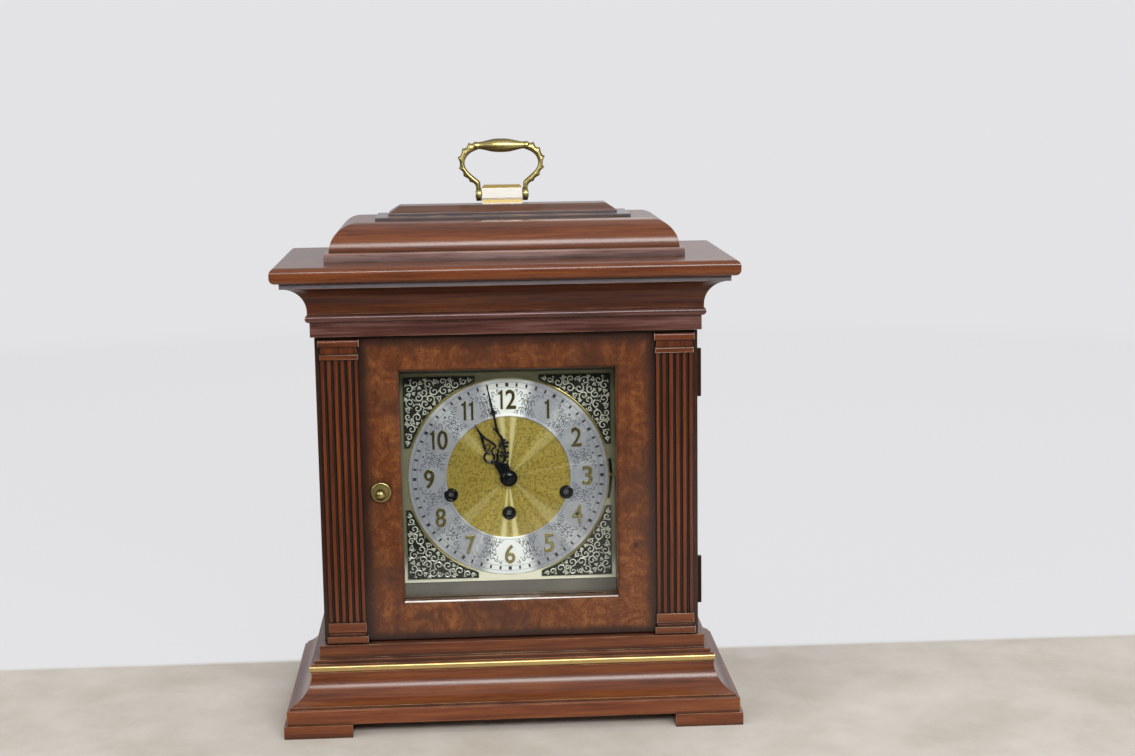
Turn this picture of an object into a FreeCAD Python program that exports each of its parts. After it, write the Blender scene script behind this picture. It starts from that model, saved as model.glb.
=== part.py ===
import FreeCAD, Part
import math
import os

# Bracket clock with a brass carrying handle. Millimetres, +X right, +Y to the back, +Z up.
# The origin is on the floor, under the middle of the overall width and depth.

V = FreeCAD.Vector
UP = V(0, 0, 1)
BACK = V(0, 1, 0)
RIGHT = V(1, 0, 0)

# Fits and cuts
running_fit = 0.06
hinge_gap = 0.4
door_gap = 0.7
slip = 0.3
overrun = 1.0

# Carcass: the box behind the door
carcass_width = 259.4
side_thickness = 12.0
door_behind = 22.0
door_seam = 0.8
case_height = 213.9

# How far each moulding stands out from the carcass, at the front and at the sides
foot_proud = 27.4
foot_past_fascia = 1.9
fascia_past_cove = 2.2
base_cove_top_proud = 9.4
strip_past_cove = 0.8
lip_proud = 7.2
riser_proud = 3.6
frieze_proud = 2.3
bead_proud = 5.2
cornice_cove_foot_proud = 3.8
cornice_cove_top_proud = 18.6
fillet_past_cove = 1.4
cornice_proud = 25.8
moulding_inset = 14.0

# Heights from the floor up
foot_height = 9.0
fascia_height = 10.5
base_cove_height = 27.1
cove_step_height = 1.4
strip_band_height = 7.7
lip_height = 2.4
riser_height = 9.1
frieze_height = 9.9
bead_height = 5.7
cornice_cove_height = 19.0
fillet_height = 3.7
cornice_height = 10.6
caddy_plinth_height = 6.1
dome_height = 19.0
step_board_height = 2.0
cap_lip_height = 2.1
cap_slope_height = 4.8

# Base, feet and brass strip
foot_length = 46.6
strip_height = 4.6
strip_below_top = 1.2
strip_depth = 3.0
strip_nose_radius = 1.4
nose_radius = 4.0
arris = 0.8
base_cove_mid_share = (0.80, 0.46)
cornice_cove_mid_share = (0.31, 0.72)

# Caddy top
caddy_plinth_setback = 7.7
dome_setback = 11.0
dome_radius = 19.0
dome_opening_margin = 7.65
step_board_margin = 8.8
cap_slope_run = 7.4
cap_margin = 4.05

# Handle
block_width = 28.2
block_depth = 12.0
block_height = 13.2
block_bevel = 1.6
handle_rise = 34.2
grip_radius = 4.6
grip_half_length = 15.5
grip_profile_shares = ((1.0, 0.52), (0.75, 0.71), (0.42, 0.92), (0.14, 1.0))
leg_thickness = 2.9
leg_depth = 4.6
eye_radius = 3.3
pivot_radius = 1.5
pivot_head_radius = 2.6
pivot_head_height = 1.0
pivot_embed = 6.0
loop_past_waist = 8.9
loop_widest_rise = 23.0
loop_waist_rise = 10.6
waist_past_leg = 2.55
loop_tube_radius = 1.75
tooth_height = 2.0
tooth_radius = 1.5
shoulder_shares = (0.72, 0.30)
lower_bend_shares = (0.74, 0.32)
upper_teeth_shares = (0.22, 0.52, 0.86)
lower_teeth_shares = (0.25, 0.60, 0.92)
block_screw_radius = 2.0
block_screw_head_radius = 4.0
block_screw_spacing = 16.0
block_screw_grip = 8.0

# Door
door_head_gap = 1.2
stile_width = 55.8
bottom_rail_height = 26.7
top_rail_height = 24.1
pilaster_relief = 3.5
pilaster_width = 24.8
pilaster_inset = 16.2
flute_count = 5
flute_margin = 0.9
flute_radius = 1.1
flute_depth = 1.1
sight_edge_thickness = 9.0
sight_bevel = 1.5
rebate_width = 5.0
glass_thickness = 2.2
glass_bead_thickness = 5.0

# Pilaster bands, each with its gap to the next, its height, width and relief
capital_band_gap = 0.8
capital_band_height = 5.4
capital_band_width = 27.6
capital_band_relief = 1.8
neck_band_gap = 5.0
neck_band_height = 3.3
neck_band_width = 26.0
neck_band_relief = 1.2
foot_band_gap = 1.2
foot_band_height = 4.7
foot_band_width = 26.0
foot_band_relief = 1.2
foot_bevel_height = 3.6
foot_block_height = 4.5
foot_block_width = 28.0
foot_block_relief = 1.8

# Door knob
knob_across_share = 0.518
knob_height_share = 0.495
rosette_radius = 7.0
rosette_thickness = 1.3
rosette_ring_radius = 0.9
knob_neck_radius = 1.9
knob_neck_length = 2.6
knob_ball_radius = 3.6
knob_spindle_length = 12.0

# Hinges and catch
hinge_length = 33.6
hinge_inset = 32.0
leaf_thickness = 1.0
door_leaf_width = 14.0
case_leaf_width = 9.0
barrel_radius = 2.3
hinge_pin_radius = 1.1
knuckle_gap = 0.15
hinge_knuckles = 3
magnet_radius = 3.0
magnet_length = 6.0
strike_radius = 4.0
strike_thickness = 0.6

# Back of the case
back_recess = 3.0
back_frame_thickness = 8.0
back_stile_width = 22.0
back_rail_height = 30.0
back_door_thickness = 6.0
back_pivot_radius = 1.5
back_pivot_embed = 8.0
sound_slot_width = 4.0
sound_slot_height = 62.0
sound_slot_pitch = 12.0
sound_slot_count = 7
finger_hole_radius = 8.0

# Dial
dial_behind = 35.9
dial_below_middle = 0.1
dial_size = 150.0
dial_thickness = 1.5
ring_margin = 4.75
ring_width = 25.0
ring_thickness = 1.0
spandrel_inset = 2.7
spandrel_reach_share = 1 / 3
spandrel_gap = 1.9
spandrel_thickness = 1.2
dial_frame_thickness = 6.0
dial_frame_overlap = 6.0
dial_frame_side_clear = 1.0
centre_hole_radius = 3.7
winding_hole_radius = 4.4
grommet_flange_radius = 4.9
grommet_flange_thickness = 0.6
grommet_bore_radius = 3.3
slot_past_ring = 2.05
slot_width = 2.0
slot_from_angle = -14
slot_to_angle = 9

# Chime selector lever behind the dial
selector_hub_radius = 6.5
selector_bore_radius = 4.2
selector_arm_width = 3.0
selector_thickness = 0.8
selector_clear = 0.5
selector_pin_radius = 0.8
selector_pin_stand = 2.6

# Hands
hand_thickness = 0.6
hour_hand_stand = 2.2
minute_hand_stand = 4.4
hour_hand_short = 0.45
minute_hand_short = 1.65
hour_hub_radius = 6.0
minute_hub_radius = 4.2
nut_radius = 2.5
nut_height = 2.2
hour_bend_shares = (0.30, 0.62)
hour_ring_radius = 4.1
hour_ring_shares = ((-1, 0.36), (1, 0.36), (0, 0.52))
minute_bend_shares = (0.36, 0.52)
minute_ring_radius = 2.6
minute_ring_shares = ((-1, 0.22), (1, 0.22), (-1, 0.33), (1, 0.33))
minute_spur_radius = 1.7
minute_spur_shares = (0.50, 0.67)
hour_angle = 31.0
minute_angle = 12.0

# Movement plates
plate_width = 132.0
plate_below_centre = 70.0
plate_above_centre = 45.0
plate_thickness = 2.0
motion_clear = 2.0
barrel_end_clear = 3.6
movement_clear = 6.0
pillar_radius = 3.5
pillar_inset = 7.0
seat_height = 10.0

# Winding arbors and mainspring barrels
barrel_gap = 1.57
barrel_to_centre_gap = 3.86
side_arbor_drop = 12.0
winding_radius = 2.3
winding_square = 3.6
winding_square_length = 9.0
ratchet_radius = 9.0
ratchet_thickness = 1.6
ratchet_teeth = 24
barrel_drum_radius = 18.0
barrel_drum_length = 20.0
barrel_teeth = 78
barrel_module = 0.52
barrel_wheel_thickness = 2.5
barrel_start = 1.5

# Going train
arbor_radius = 1.0
centre_arbor_radius = 1.5
cannon_radius = 2.2
hour_pipe_wall = 0.9
pinion_leaves = 10
second_wheel_teeth = 50
second_wheel_module = 0.5
centre_wheel_teeth = 60
wheel_clear = 0.75
small_pinion_leaves = 8
third_wheel_teeth = 64
wheel_thickness = 1.2
pinion_length = 3.0
lightening_count = 5
lightening_place_share = 0.56
lightening_radius_share = 0.24
second_wheel_from_back = 6.4
centre_wheel_from_back = 2.8
third_wheel_ahead = 4.8
third_arbor_angle = 105
escape_arbor_angle = 60
escape_wheel_radius = 8.0
escape_wheel_teeth = 15
escape_tooth_share = 0.8
escape_arbor_radius = 0.8
escape_wheel_behind = 1.2
pallet_arbor_radius = 0.7
pallet_reach = 2.8
pallet_tail = 1.4
pallet_half_span = 4.2
balance_offset = 23.0
balance_radius = 11.0
balance_rim = 1.6
balance_arm_width = 1.4
balance_staff_radius = 0.8
balance_collar_radius = 2.0
balance_behind_escape = 4.8
cock_behind_balance = 4.8
cock_width = 5.6

# Motion work between the front plate and the dial
cannon_teeth = 12
minute_wheel_teeth = 36
motion_module = 0.6
minute_pinion_leaves = 10
hour_wheel_teeth = 40
minute_arbor_angle = 135
cannon_wheel_ahead = 4.8
hour_wheel_ahead = 9.6

# Gear tooth form
addendum_share = 0.7
dedendum_share = 1.0
tooth_root_share = 0.25
tooth_tip_share = 0.09

# Chime work behind the back plate
hammer_count = 4
hammer_gap = 0.5
hammer_first = 5.0
hammer_arbor_inset = 18.0
hammer_arbor_rise = 31.85
hammer_reach = 38.0
hammer_hub_radius = 2.6
hammer_arm_height = 2.4
hammer_arm_thickness = 1.6
hammer_head_radius = 2.0
hammer_head_drop = 11.0
hammer_head_above = 2.5
hammer_tail = 6.6
drum_offset_x = 12.0
drum_offset_z = 13.0
drum_radius = 8.0
drum_pin_radius = 0.6
drum_pin_length = 1.3
drum_pin_turns = 3
drum_pin_first_angle = 20
drum_pin_step_angle = 30
cheek_thickness = 1.5
cheek_margin = 7.0
rod_radius = 1.25
rod_gap = 1.7
rod_step = 8.0
rod_past_head = 6.0
rod_block_inset = 30.2
rod_block_width = 15.0
rod_block_overhang = 4.0

# Places worked out from the sizes above
half_width = carcass_width / 2
fascia_proud = foot_proud - foot_past_fascia
base_cove_foot_proud = fascia_proud - fascia_past_cove
base_cove_rise = base_cove_height - cove_step_height - strip_band_height
strip_proud = base_cove_top_proud + strip_past_cove
strip_rise = base_cove_height - strip_below_top - strip_height
fillet_proud = cornice_cove_top_proud + fillet_past_cove
door_height = case_height - door_gap - door_head_gap
opening_width = carcass_width - 2 * stile_width
opening_height = door_height - bottom_rail_height - top_rail_height
pilaster_centre = half_width - pilaster_inset
flute_pitch = (pilaster_width - 2 * flute_margin) / flute_count
capital_band_rise = door_height - capital_band_gap - capital_band_height
neck_band_rise = capital_band_rise - neck_band_gap - neck_band_height
foot_band_rise = foot_block_height + foot_band_gap + foot_bevel_height
knob_space = pilaster_centre - pilaster_width / 2 - opening_width / 2
knob_from_centre = opening_width / 2 + knob_space * knob_across_share
leg_x = block_width / 2 + slip + leg_thickness / 2
loop_waist_half_width = leg_x + waist_past_leg
loop_half_width = loop_waist_half_width + loop_past_waist

# The dial, its ring and its hands
ring_radius = dial_size / 2 - ring_margin
ring_bore_radius = ring_radius - ring_width
slot_radius = ring_radius + slot_past_ring
spandrel_reach = dial_size * spandrel_reach_share
hour_hand_length = ring_bore_radius - hour_hand_short
minute_hand_length = ring_radius - minute_hand_short

# The movement, and the depth of case that it needs
barrel_tip_radius = barrel_module * (barrel_teeth / 2 + addendum_share)
low_arbor_drop = barrel_tip_radius + centre_arbor_radius + barrel_to_centre_gap
barrel_spacing = 2 * barrel_tip_radius + barrel_gap
side_arbor_offset = math.sqrt(barrel_spacing ** 2 - (low_arbor_drop - side_arbor_drop) ** 2)
second_arbor_distance = (second_wheel_teeth + pinion_leaves) * second_wheel_module / 2
centre_wheel_reach = second_arbor_distance - arbor_radius - wheel_clear
centre_wheel_module = centre_wheel_reach / (centre_wheel_teeth / 2 + addendum_share)
third_arbor_distance = (centre_wheel_teeth + small_pinion_leaves) * centre_wheel_module / 2
third_wheel_reach = third_arbor_distance - centre_arbor_radius - wheel_clear
third_wheel_module = third_wheel_reach / (third_wheel_teeth / 2 + addendum_share)
barrel_length = barrel_wheel_thickness + barrel_drum_length
plates_apart = barrel_start + barrel_length + barrel_end_clear + second_wheel_from_back
selector_depth = selector_clear + selector_thickness
dial_to_plate = dial_thickness + selector_depth + motion_clear + arris + hour_wheel_ahead
hammer_pitch = 2 * hammer_head_radius + hammer_gap
chime_depth = 2 * hammer_first + (hammer_count - 1) * hammer_pitch
movement_depth = dial_to_plate + 2 * plate_thickness + plates_apart + chime_depth
carcass_depth = dial_behind + movement_depth + movement_clear + back_door_thickness + back_recess
overall_depth = carcass_depth + foot_proud
y_face = foot_proud - overall_depth / 2
y_back = overall_depth / 2
y_burl = y_face + pilaster_relief
y_door_back = y_face + door_behind
y_carcass = y_door_back + door_seam
z_fascia = foot_height
z_base_cove = z_fascia + fascia_height
z_floor = z_base_cove + base_cove_height
z_riser = z_floor + lip_height
z_ledge = z_riser + riser_height
z_door = z_ledge + door_gap
z_frieze = z_ledge + case_height
z_bead = z_frieze + frieze_height
z_cornice_cove = z_bead + bead_height
z_fillet = z_cornice_cove + cornice_cove_height
z_cornice = z_fillet + fillet_height
z_caddy = z_cornice + cornice_height
z_dome = z_caddy + caddy_plinth_height
z_step = z_dome + dome_height
z_cap = z_step + step_board_height
z_cap_top = z_cap + cap_lip_height + cap_slope_height
inner_half = half_width - side_thickness
caddy_front = y_face + caddy_plinth_setback
caddy_y = (caddy_front + y_back) / 2
caddy_half_depth = (y_back - caddy_front) / 2
caddy_setback_to_depth = half_width - caddy_plinth_setback - caddy_half_depth
dome_half_depth = caddy_half_depth + caddy_plinth_setback - dome_setback
dome_rail_width = dome_half_depth - block_screw_head_radius - dome_opening_margin
cap_half_depth = block_depth / 2 + cap_margin + cap_slope_run
cap_setback = caddy_plinth_setback + caddy_half_depth - cap_half_depth
step_board_setback = cap_setback - step_board_margin
dial_y = y_face + dial_behind
dial_back_y = dial_y + dial_thickness
dial_z = z_ledge + case_height / 2 - dial_below_middle
front_plate_y = dial_y + dial_to_plate
back_plate_y = front_plate_y + plate_thickness + plates_apart
between_y = front_plate_y + plate_thickness
behind_y = back_plate_y + plate_thickness
plate_z = dial_z - plate_below_centre
plate_height = plate_below_centre + plate_above_centre
hammer_arbor_x = plate_width / 2 - hammer_arbor_inset
hammer_arbor_drop = dial_z - z_ledge - hammer_arbor_rise
rod_block_x = inner_half - rod_block_inset
pivot_z = z_cap_top + block_height / 2
back_outer_y = y_back - back_recess
hinge_x = half_width + barrel_radius + hinge_gap
hinge_y = (y_door_back + y_carcass) / 2
hinge_rises = (hinge_inset, door_height - hinge_inset)
opening_z = z_door + bottom_rail_height
back_door_half = inner_half - back_stile_width - door_gap
back_door_low = z_ledge + back_rail_height + door_gap
back_door_high = z_frieze - back_rail_height - door_gap
back_pivot_x = back_door_half - back_door_thickness / 2
back_pivot_y = back_outer_y - back_door_thickness / 2
low_arbor = (0, -low_arbor_drop)
left_arbor = (-side_arbor_offset, -side_arbor_drop)
right_arbor = (side_arbor_offset, -side_arbor_drop)


def box(x0, x1, y0, y1, z0, z1):
    return Part.makeBox(x1 - x0, y1 - y0, z1 - z0, V(x0, y0, z0))


def rod(radius, x, z, y0, y1):
    """A round bar along Y."""
    return Part.makeCylinder(radius, y1 - y0, V(x, y0, z), BACK)


def fuse(shapes):
    """One clean solid from overlapping or touching shapes."""
    return shapes[0].multiFuse(shapes[1:]).removeSplitter()


def both_sides(shape):
    """A shape and its mirror image on the other side of the clock."""
    return [shape, shape.mirror(V(0, 0, 0), RIGHT)]


def save(name, shapes):
    """Write one node: a single solid, or a group of separate solids."""
    shape = Part.makeCompound(shapes) if isinstance(shapes, list) else shapes
    for solid in shape.Solids:
        if not solid.isValid():
            print("not valid:", name)
    shape.exportStep("parts/" + name + ".step")
    limits = shape.BoundBox
    print(name, len(shape.Solids), "x %.1f %.1f y %.1f %.1f z %.1f %.1f" % (
        limits.XMin, limits.XMax, limits.YMin, limits.YMax, limits.ZMin, limits.ZMax))


def outline_face(start, steps, place):
    """A flat face; each step is (end,) for a line or (middle, end) for an arc."""
    edges = []
    here = place(*start)
    for step in steps:
        there = place(*step[-1])
        if len(step) == 2:
            edges.append(Part.Arc(here, place(*step[0]), there).toShape())
        else:
            edges.append(Part.makeLine(here, there))
        here = there
    return Part.Face(Part.Wire(edges))


def between(a, b, share):
    return a + (b - a) * share


def framing(half, front, back, start, steps, inset, proud, low, high, closed=False):
    """Mitred lengths of one moulding: front, two sides and, if closed, the back."""
    reach = half + proud
    front_face = outline_face(start, steps, lambda p, z: V(-reach, front - p, z))
    front_bar = front_face.extrude(RIGHT * (2 * reach))
    end = back + proud if closed else back
    inner_end = back - inset if closed else back
    front_plan = [(-reach, front - proud), (reach, front - proud),
                  (half - inset, front + inset), (inset - half, front + inset)]
    side_face = outline_face(start, steps, lambda p, z: V(half + p, front - proud, z))
    side_bar = side_face.extrude(BACK * (end - front + proud))
    side_plan = [(reach, front - proud), (reach, end),
                 (half - inset, inner_end), (half - inset, front + inset)]
    front_rail = front_bar.common(plan_prism(front_plan, low, high))
    side_rail = side_bar.common(plan_prism(side_plan, low, high))
    rails = [front_rail] + both_sides(side_rail)
    if closed:
        rails.append(front_rail.mirror(V(0, (front + back) / 2, 0), BACK))
    return rails


def plan_prism(corners, low, high):
    points = [V(x, y, low) for x, y in corners]
    wire = Part.makePolygon(points + [points[0]])
    return Part.Face(wire).extrude(UP * (high - low))


def back_board(low, high):
    """The plain board that closes a moulded frame at the back."""
    half = half_width - moulding_inset
    return box(-half, half, y_back - side_thickness, y_back, low, high)


def feet():
    outer = half_width + foot_proud
    front = y_face - foot_proud
    blocks = []
    for y0 in (front, y_back - foot_length):
        blocks += both_sides(box(outer - foot_length, outer, y0, y0 + foot_length, 0, foot_height))
    return blocks


def base_fascia():
    top = z_base_cove
    steps = [((fascia_proud, z_fascia),), ((fascia_proud, top - arris),),
             ((fascia_proud - arris, top),), ((-moulding_inset, top),), ((-moulding_inset, z_fascia),)]
    rails = framing(half_width, y_face, y_back, (-moulding_inset, z_fascia), steps,
                    moulding_inset, fascia_proud, z_fascia, top)
    return rails + [back_board(z_fascia, top)]


def base_cove():
    low = z_base_cove
    start_z = low + cove_step_height
    end_z = start_z + base_cove_rise
    across, up = base_cove_mid_share
    middle = (between(base_cove_foot_proud, base_cove_top_proud, across), between(start_z, end_z, up))
    steps = [((base_cove_foot_proud, low),), ((base_cove_foot_proud, start_z),),
             (middle, (base_cove_top_proud, end_z)), ((base_cove_top_proud, z_floor),),
             ((-moulding_inset, z_floor),), ((-moulding_inset, low),)]
    rails = framing(half_width, y_face, y_back, (-moulding_inset, low), steps,
                    moulding_inset, base_cove_foot_proud, low, z_floor)
    rails = [rail.cut(strip_bar()) for rail in rails]
    return rails + [back_board(low, z_floor)]


def strip_bar():
    reach = half_width + strip_proud
    front = y_face - strip_proud
    low = z_base_cove + strip_rise
    return box(-reach, reach, front, front + strip_depth, low, low + strip_height)


def brass_strip():
    bar = strip_bar()
    front = y_face - strip_proud
    edges = [edge for edge in bar.Edges
             if edge.BoundBox.YMax < front + overrun and edge.BoundBox.XLength > half_width]
    return bar.makeFillet(strip_nose_radius, edges)


def floor_board():
    lip = half_width + lip_proud
    riser = half_width + riser_proud
    lower = box(-lip, lip, y_face - lip_proud, y_back, z_floor, z_riser)
    upper = box(-riser, riser, y_face - riser_proud, y_back, z_riser, z_ledge)
    return fuse([lower, upper])


def side_panels():
    panel = box(inner_half, half_width, y_carcass, y_back, z_ledge, z_frieze)
    right = panel
    for rise in hinge_rises:
        low = z_door + rise - hinge_length / 2
        right = right.cut(box(half_width - case_leaf_width, half_width, y_carcass,
                              y_carcass + leaf_thickness, low, low + hinge_length))
    left = panel.mirror(V(0, 0, 0), RIGHT).cut(door_magnet())
    return [left, right]


def frieze_board():
    reach = half_width + frieze_proud
    return box(-reach, reach, y_face - frieze_proud, y_back, z_frieze, z_bead)


def cornice_bead():
    radius = bead_height / 2
    flat = bead_proud - radius
    top = z_cornice_cove
    steps = [((flat, z_bead),), ((bead_proud, z_bead + radius), (flat, top)),
             ((-moulding_inset, top),), ((-moulding_inset, z_bead),)]
    rails = framing(half_width, y_face, y_back, (-moulding_inset, z_bead), steps,
                    moulding_inset, bead_proud, z_bead, top)
    return rails + [back_board(z_bead, top)]


def cornice_cove():
    low = z_cornice_cove
    across, up = cornice_cove_mid_share
    middle = (between(cornice_cove_foot_proud, cornice_cove_top_proud, across), between(low, z_fillet, up))
    steps = [((cornice_cove_foot_proud, low),), (middle, (cornice_cove_top_proud, z_fillet)),
             ((fillet_proud, z_fillet),), ((fillet_proud, z_cornice),),
             ((-moulding_inset, z_cornice),), ((-moulding_inset, low),)]
    rails = framing(half_width, y_face, y_back, (-moulding_inset, low), steps,
                    moulding_inset, fillet_proud, low, z_cornice)
    return rails + [back_board(low, z_cornice)]


def cornice_board():
    reach = half_width + cornice_proud
    front = y_face - cornice_proud
    board = box(-reach, reach, front, y_back, z_cornice, z_caddy)
    edges = []
    for edge in board.Edges:
        limits = edge.BoundBox
        level = limits.ZLength < running_fit
        if level and limits.YMin < y_back - overrun:
            edges.append(edge)
    return board.makeFillet(nose_radius, edges)


def caddy_level(setback):
    """Half width and half depth of one level of the caddy top."""
    half = half_width - setback
    return half, half - caddy_setback_to_depth


def caddy_board(setback, low, high):
    half, half_depth = caddy_level(setback)
    return box(-half, half, caddy_y - half_depth, caddy_y + half_depth, low, high)


def caddy_plinth():
    board = caddy_board(caddy_plinth_setback, z_caddy, z_dome)
    edges = [edge for edge in board.Edges if edge.BoundBox.ZMin > z_dome - running_fit]
    return board.makeChamfer(arris, edges)


def dome_mouldings():
    half, half_depth = caddy_level(dome_setback)
    slant = math.sqrt(0.5)
    middle = (-dome_radius * (1 - slant), z_dome + dome_height * slant)
    steps = [((0, z_dome),), (middle, (-dome_radius, z_step)),
             ((-dome_rail_width, z_step),), ((-dome_rail_width, z_dome),)]
    return framing(half, caddy_y - half_depth, caddy_y + half_depth, (-dome_rail_width, z_dome), steps,
                   dome_rail_width, 0, z_dome, z_step, closed=True)


def cap_boards():
    """The thin step board and the bevelled cap board on it, drilled for the handle's screws."""
    step = caddy_board(step_board_setback, z_step, z_cap)
    lip = caddy_board(cap_setback, z_cap, z_cap + cap_lip_height)
    half, half_depth = caddy_level(cap_setback)
    slope_z = z_cap + cap_lip_height
    foot_wire = level_rectangle(half, half_depth, slope_z)
    top_wire = level_rectangle(half - cap_slope_run, half_depth - cap_slope_run, z_cap_top)
    slope = Part.makeLoft([foot_wire, top_wire], True)
    cap = fuse([lip, slope])
    holes = [Part.makeCylinder(block_screw_radius, z_cap_top - z_step, V(x, caddy_y, z_step), UP)
             for x in (-block_screw_spacing / 2, block_screw_spacing / 2)]
    for hole in holes:
        step = step.cut(hole)
        cap = cap.cut(hole)
    return [step, cap]


def level_rectangle(half, half_depth, z):
    corners = [V(-half, caddy_y - half_depth, z), V(half, caddy_y - half_depth, z),
               V(half, caddy_y + half_depth, z), V(-half, caddy_y + half_depth, z)]
    return Part.makePolygon(corners + [corners[0]])


def handle_block():
    half = block_width / 2
    block = box(-half, half, caddy_y - block_depth / 2, caddy_y + block_depth / 2,
                z_cap_top, z_cap_top + block_height)
    edges = [edge for edge in block.Edges if edge.BoundBox.ZLength < running_fit]
    block = block.makeChamfer(block_bevel, edges)
    for tool in handle_fixings():
        block = block.cut(tool)
    return block


def handle_fixings():
    """Two pivot pins in the block's ends, and two screws that come up through the cap boards."""
    pieces = []
    inner = block_width / 2 - pivot_embed
    outer = block_width / 2 + slip + leg_thickness + slip
    pin = Part.makeCylinder(pivot_radius, outer - inner, V(inner, caddy_y, pivot_z), RIGHT)
    head = Part.makeCylinder(pivot_head_radius, pivot_head_height, V(outer, caddy_y, pivot_z), RIGHT)
    pieces += both_sides(fuse([pin, head]))
    shank_length = z_cap_top + block_screw_grip - z_step
    for x in (-block_screw_spacing / 2, block_screw_spacing / 2):
        shank = Part.makeCylinder(block_screw_radius, shank_length, V(x, caddy_y, z_step), UP)
        head = Part.makeCylinder(block_screw_head_radius, block_screw_radius,
                                 V(x, caddy_y, z_step - block_screw_radius), UP)
        pieces.append(fuse([shank, head]))
    return pieces


def upright(x, rise):
    """A point in the handle's plane, by its height over the pivots."""
    return V(x, caddy_y, pivot_z + rise)


def tube(arc, radius):
    """A round bar along an arc."""
    section = Part.Wire([Part.makeCircle(radius, arc.valueAt(arc.FirstParameter),
                                         arc.tangentAt(arc.FirstParameter))])
    return Part.Wire([arc]).makePipeShell([section], True, False)


def teeth(arc, shares, middle):
    """Pointed teeth along an arc of the loop, each aimed away from the loop's middle."""
    pieces = []
    for share in shares:
        root = arc.valueAt(between(arc.FirstParameter, arc.LastParameter, share))
        out = root - middle
        out.normalize()
        length = loop_tube_radius + tooth_height
        pieces.append(Part.makeCone(tooth_radius, tooth_radius / 4, length, root, out))
    return pieces


def bail_handle():
    grip_top = upright(0, handle_rise)
    left = [((-grip_half_length * along, grip_radius * out),) for along, out in grip_profile_shares]
    right = [((grip_half_length * along, grip_radius * out),) for along, out in reversed(grip_profile_shares)]
    profile = outline_face((-grip_half_length, 0), left + right + [
        ((grip_half_length, 0),), ((-grip_half_length, 0),)], lambda x, r: grip_top + V(x, 0, r))
    grip = profile.revolve(grip_top, RIGHT, 360)
    across, up = shoulder_shares
    shoulder = upright(between(grip_half_length, loop_half_width, across),
                       between(handle_rise, loop_widest_rise, up))
    across, up = lower_bend_shares
    lower_bend = upright(between(loop_waist_half_width, loop_half_width, across),
                         between(loop_waist_rise, loop_widest_rise, up))
    widest = upright(loop_half_width, loop_widest_rise)
    waist = upright(loop_waist_half_width, loop_waist_rise)
    upper = Part.Arc(upright(grip_half_length - arris, handle_rise), shoulder, widest).toShape()
    lower = Part.Arc(widest, lower_bend, waist).toShape()
    knot = Part.makeSphere(loop_tube_radius, widest)
    ankle = Part.makeCylinder(loop_tube_radius + arris / 2, leg_depth, waist - BACK * (leg_depth / 2), BACK)
    leg = box(leg_x - leg_thickness / 2, leg_x + leg_thickness / 2, caddy_y - leg_depth / 2,
              caddy_y + leg_depth / 2, pivot_z, pivot_z + loop_waist_rise)
    eye = Part.makeCylinder(eye_radius, leg_thickness, upright(leg_x - leg_thickness / 2, 0), RIGHT)
    loop_middle = upright(grip_half_length, loop_widest_rise)
    pieces = [tube(upper, loop_tube_radius), tube(lower, loop_tube_radius), knot, ankle, leg, eye]
    pieces += teeth(upper, upper_teeth_shares, loop_middle)
    pieces += teeth(lower, lower_teeth_shares, loop_middle)
    side = fuse(pieces)
    hole = Part.makeCylinder(pivot_radius + running_fit, leg_thickness + 2 * overrun,
                             upright(leg_x - leg_thickness / 2 - overrun, 0), RIGHT)
    side = side.cut(hole)
    return fuse([grip] + both_sides(side))


def door_stiles():
    half_opening = opening_width / 2
    stile = box(half_opening, half_width, y_burl, y_door_back, z_door, z_door + door_height)
    stile = stile.cut(glass_rebate()).cut(sight_cut())
    right = stile
    for rise in hinge_rises:
        low = z_door + rise - hinge_length / 2
        right = right.cut(box(half_width - door_leaf_width, half_width, y_door_back - leaf_thickness,
                              y_door_back, low, low + hinge_length))
    left = stile.mirror(V(0, 0, 0), RIGHT).cut(strike_plate())
    left = left.cut(rod(knob_neck_radius - running_fit, -knob_from_centre, knob_z(),
                        y_burl, y_burl + knob_spindle_length))
    return [left, right]


def door_rails():
    half_opening = opening_width / 2
    rails = []
    for low, high in ((z_door, opening_z), (opening_z + opening_height, z_door + door_height)):
        rail = box(-half_opening, half_opening, y_burl, y_door_back, low, high)
        rails.append(rail.cut(glass_rebate()).cut(sight_cut()))
    return rails


def glass_rebate():
    half = opening_width / 2 + rebate_width
    return box(-half, half, y_burl + sight_edge_thickness, y_door_back,
               opening_z - rebate_width, opening_z + opening_height + rebate_width)


def sight_cut():
    """The bevel round the front of the door's opening."""
    half = opening_width / 2
    low = opening_z
    high = opening_z + opening_height
    front = Part.makePolygon([V(x, y_burl, z) for x, z in (
        (-half - sight_bevel, low - sight_bevel), (half + sight_bevel, low - sight_bevel),
        (half + sight_bevel, high + sight_bevel), (-half - sight_bevel, high + sight_bevel),
        (-half - sight_bevel, low - sight_bevel))])
    back = Part.makePolygon([V(x, y_burl + sight_bevel, z) for x, z in (
        (-half, low), (half, low), (half, high), (-half, high), (-half, low))])
    return Part.makeLoft([front, back], True)


def door_glass():
    half = opening_width / 2 + rebate_width - slip
    front = y_burl + sight_edge_thickness
    return box(-half, half, front, front + glass_thickness,
               opening_z - rebate_width + slip, opening_z + opening_height + rebate_width - slip)


def glass_beads():
    half_in = opening_width / 2
    half_out = half_in + rebate_width
    front = y_burl + sight_edge_thickness + glass_thickness
    back = front + glass_bead_thickness
    low = opening_z - rebate_width
    high = opening_z + opening_height + rebate_width
    uprights = both_sides(box(half_in, half_out, front, back, low, high))
    lower = box(-half_in, half_in, front, back, low, low + rebate_width)
    upper = box(-half_in, half_in, front, back, high - rebate_width, high)
    return uprights + [lower, upper]


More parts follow.
